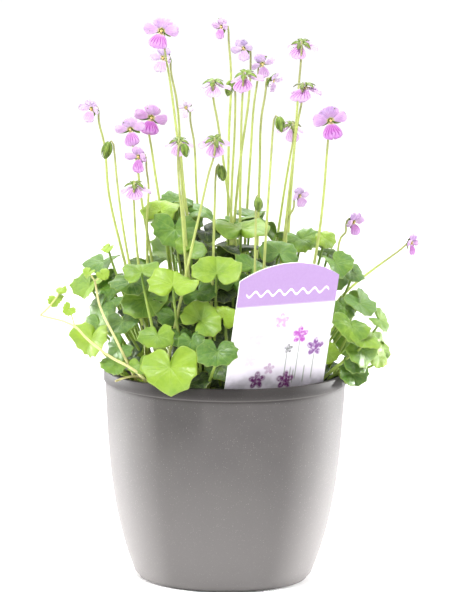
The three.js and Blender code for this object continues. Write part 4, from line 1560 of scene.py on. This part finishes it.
def between(first, second, share, shift, width, spin):
    """A leaf between two named ones, shifted by some millimetres and turned in its plane."""
    a, b = leaves[first], leaves[second]
    joint = a["joint"] * (1 - share) + b["joint"] * share + np.array(shift) * MM
    out = unit(a["out"] * (1 - share) + b["out"] * share)
    down = -UP + out * out[2]
    return spun(new_leaf(joint, out, down, width * MM), spin)


# For each: two named leaves, the share of the way from one to the other, a shift, the leaf's width,
# its turn in its own plane, and its tone.
BETWEEN = [
    ("leaf_02", "leaf_04", 0.5, (2, 3, 1), 13, 10, 0.30),
    ("leaf_07", "leaf_08", 0.5, (-6, 6, 1), 20, 30, 0.18),
    ("leaf_11", "leaf_06", 0.5, (8, 8, 3), 15, 150, 0.62),
    ("leaf_16", "leaf_17", 0.5, (3, 4, 6), 13, 20, 0.85),
    ("leaf_17", "leaf_18", 0.4, (4, 8, 2), 13, 0, 0.20),
    ("leaf_18", "leaf_20", 0.5, (6, -4, 3), 15, 30, 0.60),
    ("leaf_19", "leaf_21", 0.5, (4, -3, 1), 16, -30, 0.75),
    ("leaf_18", "leaf_19", 0.5, (-6, 4, 3), 15, 10, 0.50),
    ("leaf_20", "leaf_21", 0.5, (5, 2, -4), 14, 40, 0.88),
    ("leaf_23", "leaf_25", 0.5, (5, 6, 1), 18, -20, 0.30),
    ("leaf_25", "leaf_01", 0.35, (-2, 6, -9), 14, 0, 0.65),
    ("leaf_25", "leaf_01", 0.62, (0, 9, -6), 12, 20, 0.70),
    ("leaf_24", "leaf_23", 0.3, (5, -6, 11), 8, 0, 1.0),
    ("leaf_12", "leaf_13", 0.5, (-2, 12, 3), 17, 160, 0.40),
    ("leaf_13", "leaf_16", 0.5, (0, 14, 2), 20, 100, 0.45),
    ("leaf_09", "leaf_10", 0.5, (0, 9, -7), 19, 170, 0.28),
    ("leaf_06", "leaf_09", 0.5, (2, 10, -8), 18, 20, 0.25),
    ("leaf_08", "leaf_03", 0.5, (0, 6, -4), 18, 10, 0.40),
    ("leaf_02", "leaf_03", 0.5, (0, 6, -5), 14, 0, 0.35),
    ("leaf_25", "leaf_23", 0.4, (4, 3, -4), 17, 20, 0.55),
    ("leaf_24", "leaf_25", 0.5, (6, 4, -2), 18, -25, 0.35),
    ("leaf_23", "leaf_24", 0.5, (8, 2, -6), 18, 15, 0.45),
    ("leaf_25", "leaf_01", 0.2, (6, 4, -3), 16, -30, 0.3),
    ("leaf_08", "leaf_25", 0.5, (2, 2, -2), 18, 30, 0.2),
    ("leaf_21", "leaf_20", 0.4, (-6, -2, -6), 16, 25, 0.3),
    ("leaf_21", "leaf_22", 0.5, (4, 6, -12), 16, -15, 0.25),
    ("leaf_20", "leaf_21", 0.8, (-6, 4, -12), 17, 40, 0.3),
    ("leaf_13", "leaf_16", 0.3, (0, 6, -4), 18, 30, 0.55),
    ("leaf_16", "leaf_18", 0.5, (0, 2, -3), 18, -20, 0.5),
]
draw = random.Random(21)
near_leaves = [(between(*row[:6]), row[6]) for row in BETWEEN]
deep_leaves, far_leaves = [], []
for node, leaf in leaves.items():
    joint, out, width = leaf["joint"], leaf["out"], leaf["width"]
    for depth in (1, 2, 3):
        inward = np.array([joint[0] * (0.85 - 0.16 * depth), joint[1] * (0.85 - 0.16 * depth), 0])
        deep = inward + UP * (joint[2] - (4 + 7 * depth) * MM)
        if deep[2] < SOIL_TOP + 7 * MM:
            continue
        lean = unit(out + np.array([draw.uniform(-0.4, 0.4), draw.uniform(-0.4, 0.4), 0.2]))
        below = new_leaf(deep, lean, -UP + lean * lean[2], width * draw.uniform(0.75, 0.95), 0.7)
        # Painted shade: each layer deeper gets a tone 0.3 lower, so the deep leaves are painted darker.
        deep_leaves.append((spun(below, draw.uniform(-80, 80)),
                            draw.uniform(-0.2, 0.25) - 0.3 * depth))
    if joint[1] < -7 * MM:
        place = np.array([joint[0] * draw.uniform(0.85, 0.98), -0.86 * joint[1],
                          joint[2] + draw.uniform(-6, 3) * MM])
        facing = unit(np.array([out[0], -out[1], out[2]]) + np.array([
            draw.uniform(-0.2, 0.2), draw.uniform(-0.1, 0.1), draw.uniform(0, 0.2)]))
        far = new_leaf(place, facing, -UP + facing * facing[2], width * draw.uniform(0.95, 1.2))
        far_leaves.append((spun(far, draw.uniform(-50, 50)), draw.uniform(0.2, 0.85)))

for name, group in (("leaves_between", near_leaves), ("leaves_deep", deep_leaves),
                    ("leaves_far_side", far_leaves)):
    work = Work()
    for k, (leaf, tone) in enumerate(group):
        add_leaf(work, leaf, name + str(k), tone, draw.uniform(0.03, 0.16))
    hand_over(work.piece(name, [LEAF]), "leaf_green")
    print(name + ":", len(group))


# %% Draw the petioles
def petiole_route(leaf, rooted_already=False):
    route = list(leaf["route"]) if rooted_already else rooted(leaf["route"])
    joint, out, width = leaf["joint"], leaf["out"], leaf["width"]
    if not rooted_already:
        route.append(joint - out * (0.07 * width + 3.5 * MM) - UP * 1.5 * MM)
    return route + [joint - out * 0.08 * width]


extra = [leaf for leaf, _ in near_leaves + deep_leaves + far_leaves]
routes = ([petiole_route(leaf) for leaf in leaves.values()],
          [petiole_route(leaf, True) for leaf in extra])
for name, group, nodes in (("leaf_petioles", routes[0], list(leaves)),
                           ("inner_petioles", routes[1], [])):
    piece = smoothed(draw_stalks(name, group, LEAF_STALK, foot=0.95, neck=0.6, wander=2.2,
                                 steps=26, sides=7, seed=9.0))
    hand_over(piece, "leaf_green", *nodes)
    print(name + ":", len(group), "petioles")

# %% [markdown]
# ## The runner
# The plant spreads by pale runners. One arches out over the rim on the left and ends in a pair
# of tiny new leaves, and a cut stub of another lies over the rim. They are stalks too, so the
# same tree draws them, thinner and paler.


# %% The runner and the stub
def chain(middles):
    """Ring middles put in order along a route, from the lowest, each to its nearest."""
    left = list(middles)
    order = [left.pop(0)]
    while left:
        gaps = [np.linalg.norm(p - order[-1]) for p in left]
        order.append(left.pop(int(np.argmin(gaps))))
    return order


runner_rings = chain(ring_middles(corners("runner"), 1.5 * MM))
runner_end = runner_rings[-1]
RUNNER_STALK = paint_stalk("runner_stem", rgb(222, 226, 160), rgb(226, 222, 160),
                           rgb(206, 196, 140), 0.8)
rim_left = np.array([-0.79, -0.61, 0.0])
stub = [rim_left * 44 * MM + UP * (RIM - 7 * MM), rim_left * 53 * MM + UP * (RIM + 0.5 * MM),
        rim_left * 61 * MM + UP * (RIM + 1.5 * MM), rim_left * 68 * MM + UP * (RIM + 0.2 * MM)]
side_end = leaves["leaf_23"]["joint"] * np.array([0.94, 4.0, 1]) + UP * 6 * MM
side_stem = [leaves["leaf_25"]["route"][0] - UP * 3 * MM,
             leaves["leaf_25"]["joint"] * np.array([0.80, 1.45, 1]) + UP * 1 * MM,
             leaves["leaf_23"]["joint"] * np.array([0.90, 4.4, 1]) - UP * 6 * MM, side_end]
runner = smoothed(draw_stalks("runner_stems", [rooted(runner_rings), stub, side_stem],
                              RUNNER_STALK, foot=0.8, neck=0.5, wander=2.0, steps=50,
                              sides=9, seed=13.0))
hand_over(runner, "runner_stem", "runner")

# For each young leaf: where it grows from, its shift, the way it faces, its width and its turn.
work = Work()
young = []
for base, shift, out, width, spin in (
        (runner_end, (7, 2, 8), (-0.5, -0.8, 0.6), 8.5, 20),
        (runner_end, (14, -5, 4), (-0.3, -0.9, 0.5), 7.5, -30),
        (runner_end, (10, 0, 13), (-0.6, -0.6, 0.8), 6.0, 10),
        (side_end, (4, -2, 4), (0.3, -0.7, 0.7), 7.5, 40),
        (side_end, (-3, -2, 5), (-0.4, -0.6, 0.8), 6.5, -20)):
    joint = base + np.array(shift) * MM
    facing = unit(np.array(out))
    leaf = spun(new_leaf(joint, facing, -UP + facing * facing[2], width * MM), spin)
    add_leaf(work, leaf, "young" + str(width), 1.05, 0.1)
    nearest = min(runner_rings + [side_end], key=lambda p: np.linalg.norm(p - joint))
    young.append([nearest, (nearest + joint) / 2 - facing * MM, joint - facing * 0.08 * width * MM])
hand_over(work.piece("runner_young_leaves", [LEAF]), "leaf_green", "runner")
young_stems = draw_stalks("runner_young_stems", young, RUNNER_STALK, foot=0.45, neck=0.35,
                          wander=0.3, steps=12)
hand_over(young_stems, "runner_stem")
print("runner: %d rings read, ends at x %.0f mm" % (len(runner_rings), runner_end[0] / MM))

# %% [markdown]
# ## The floor
# The pot stands on one wide pale floor, almost white, so that the plant reads against it.


# %% The floor
def paint_floor():
    finish, _ = new_finish("pale_floor")
    tone = use_group(finish, PATCHES, Scale=2.0, Low=(0.93, 0.93, 0.93, 1),
                     High=(0.96, 0.96, 0.96, 1))
    wire(finish, tone["Color"], shader_of(finish).inputs["Base Color"])
    shader_of(finish).inputs["Roughness"].default_value = 0.6
    shader_of(finish).inputs["Specular IOR Level"].default_value = 0.2
    return finish


floor = as_mesh("floor", [(-4, -4, 0), (4, -4, 0), (4, 4, 0), (-4, 4, 0)], [(0, 1, 2, 3)],
                [paint_floor()])
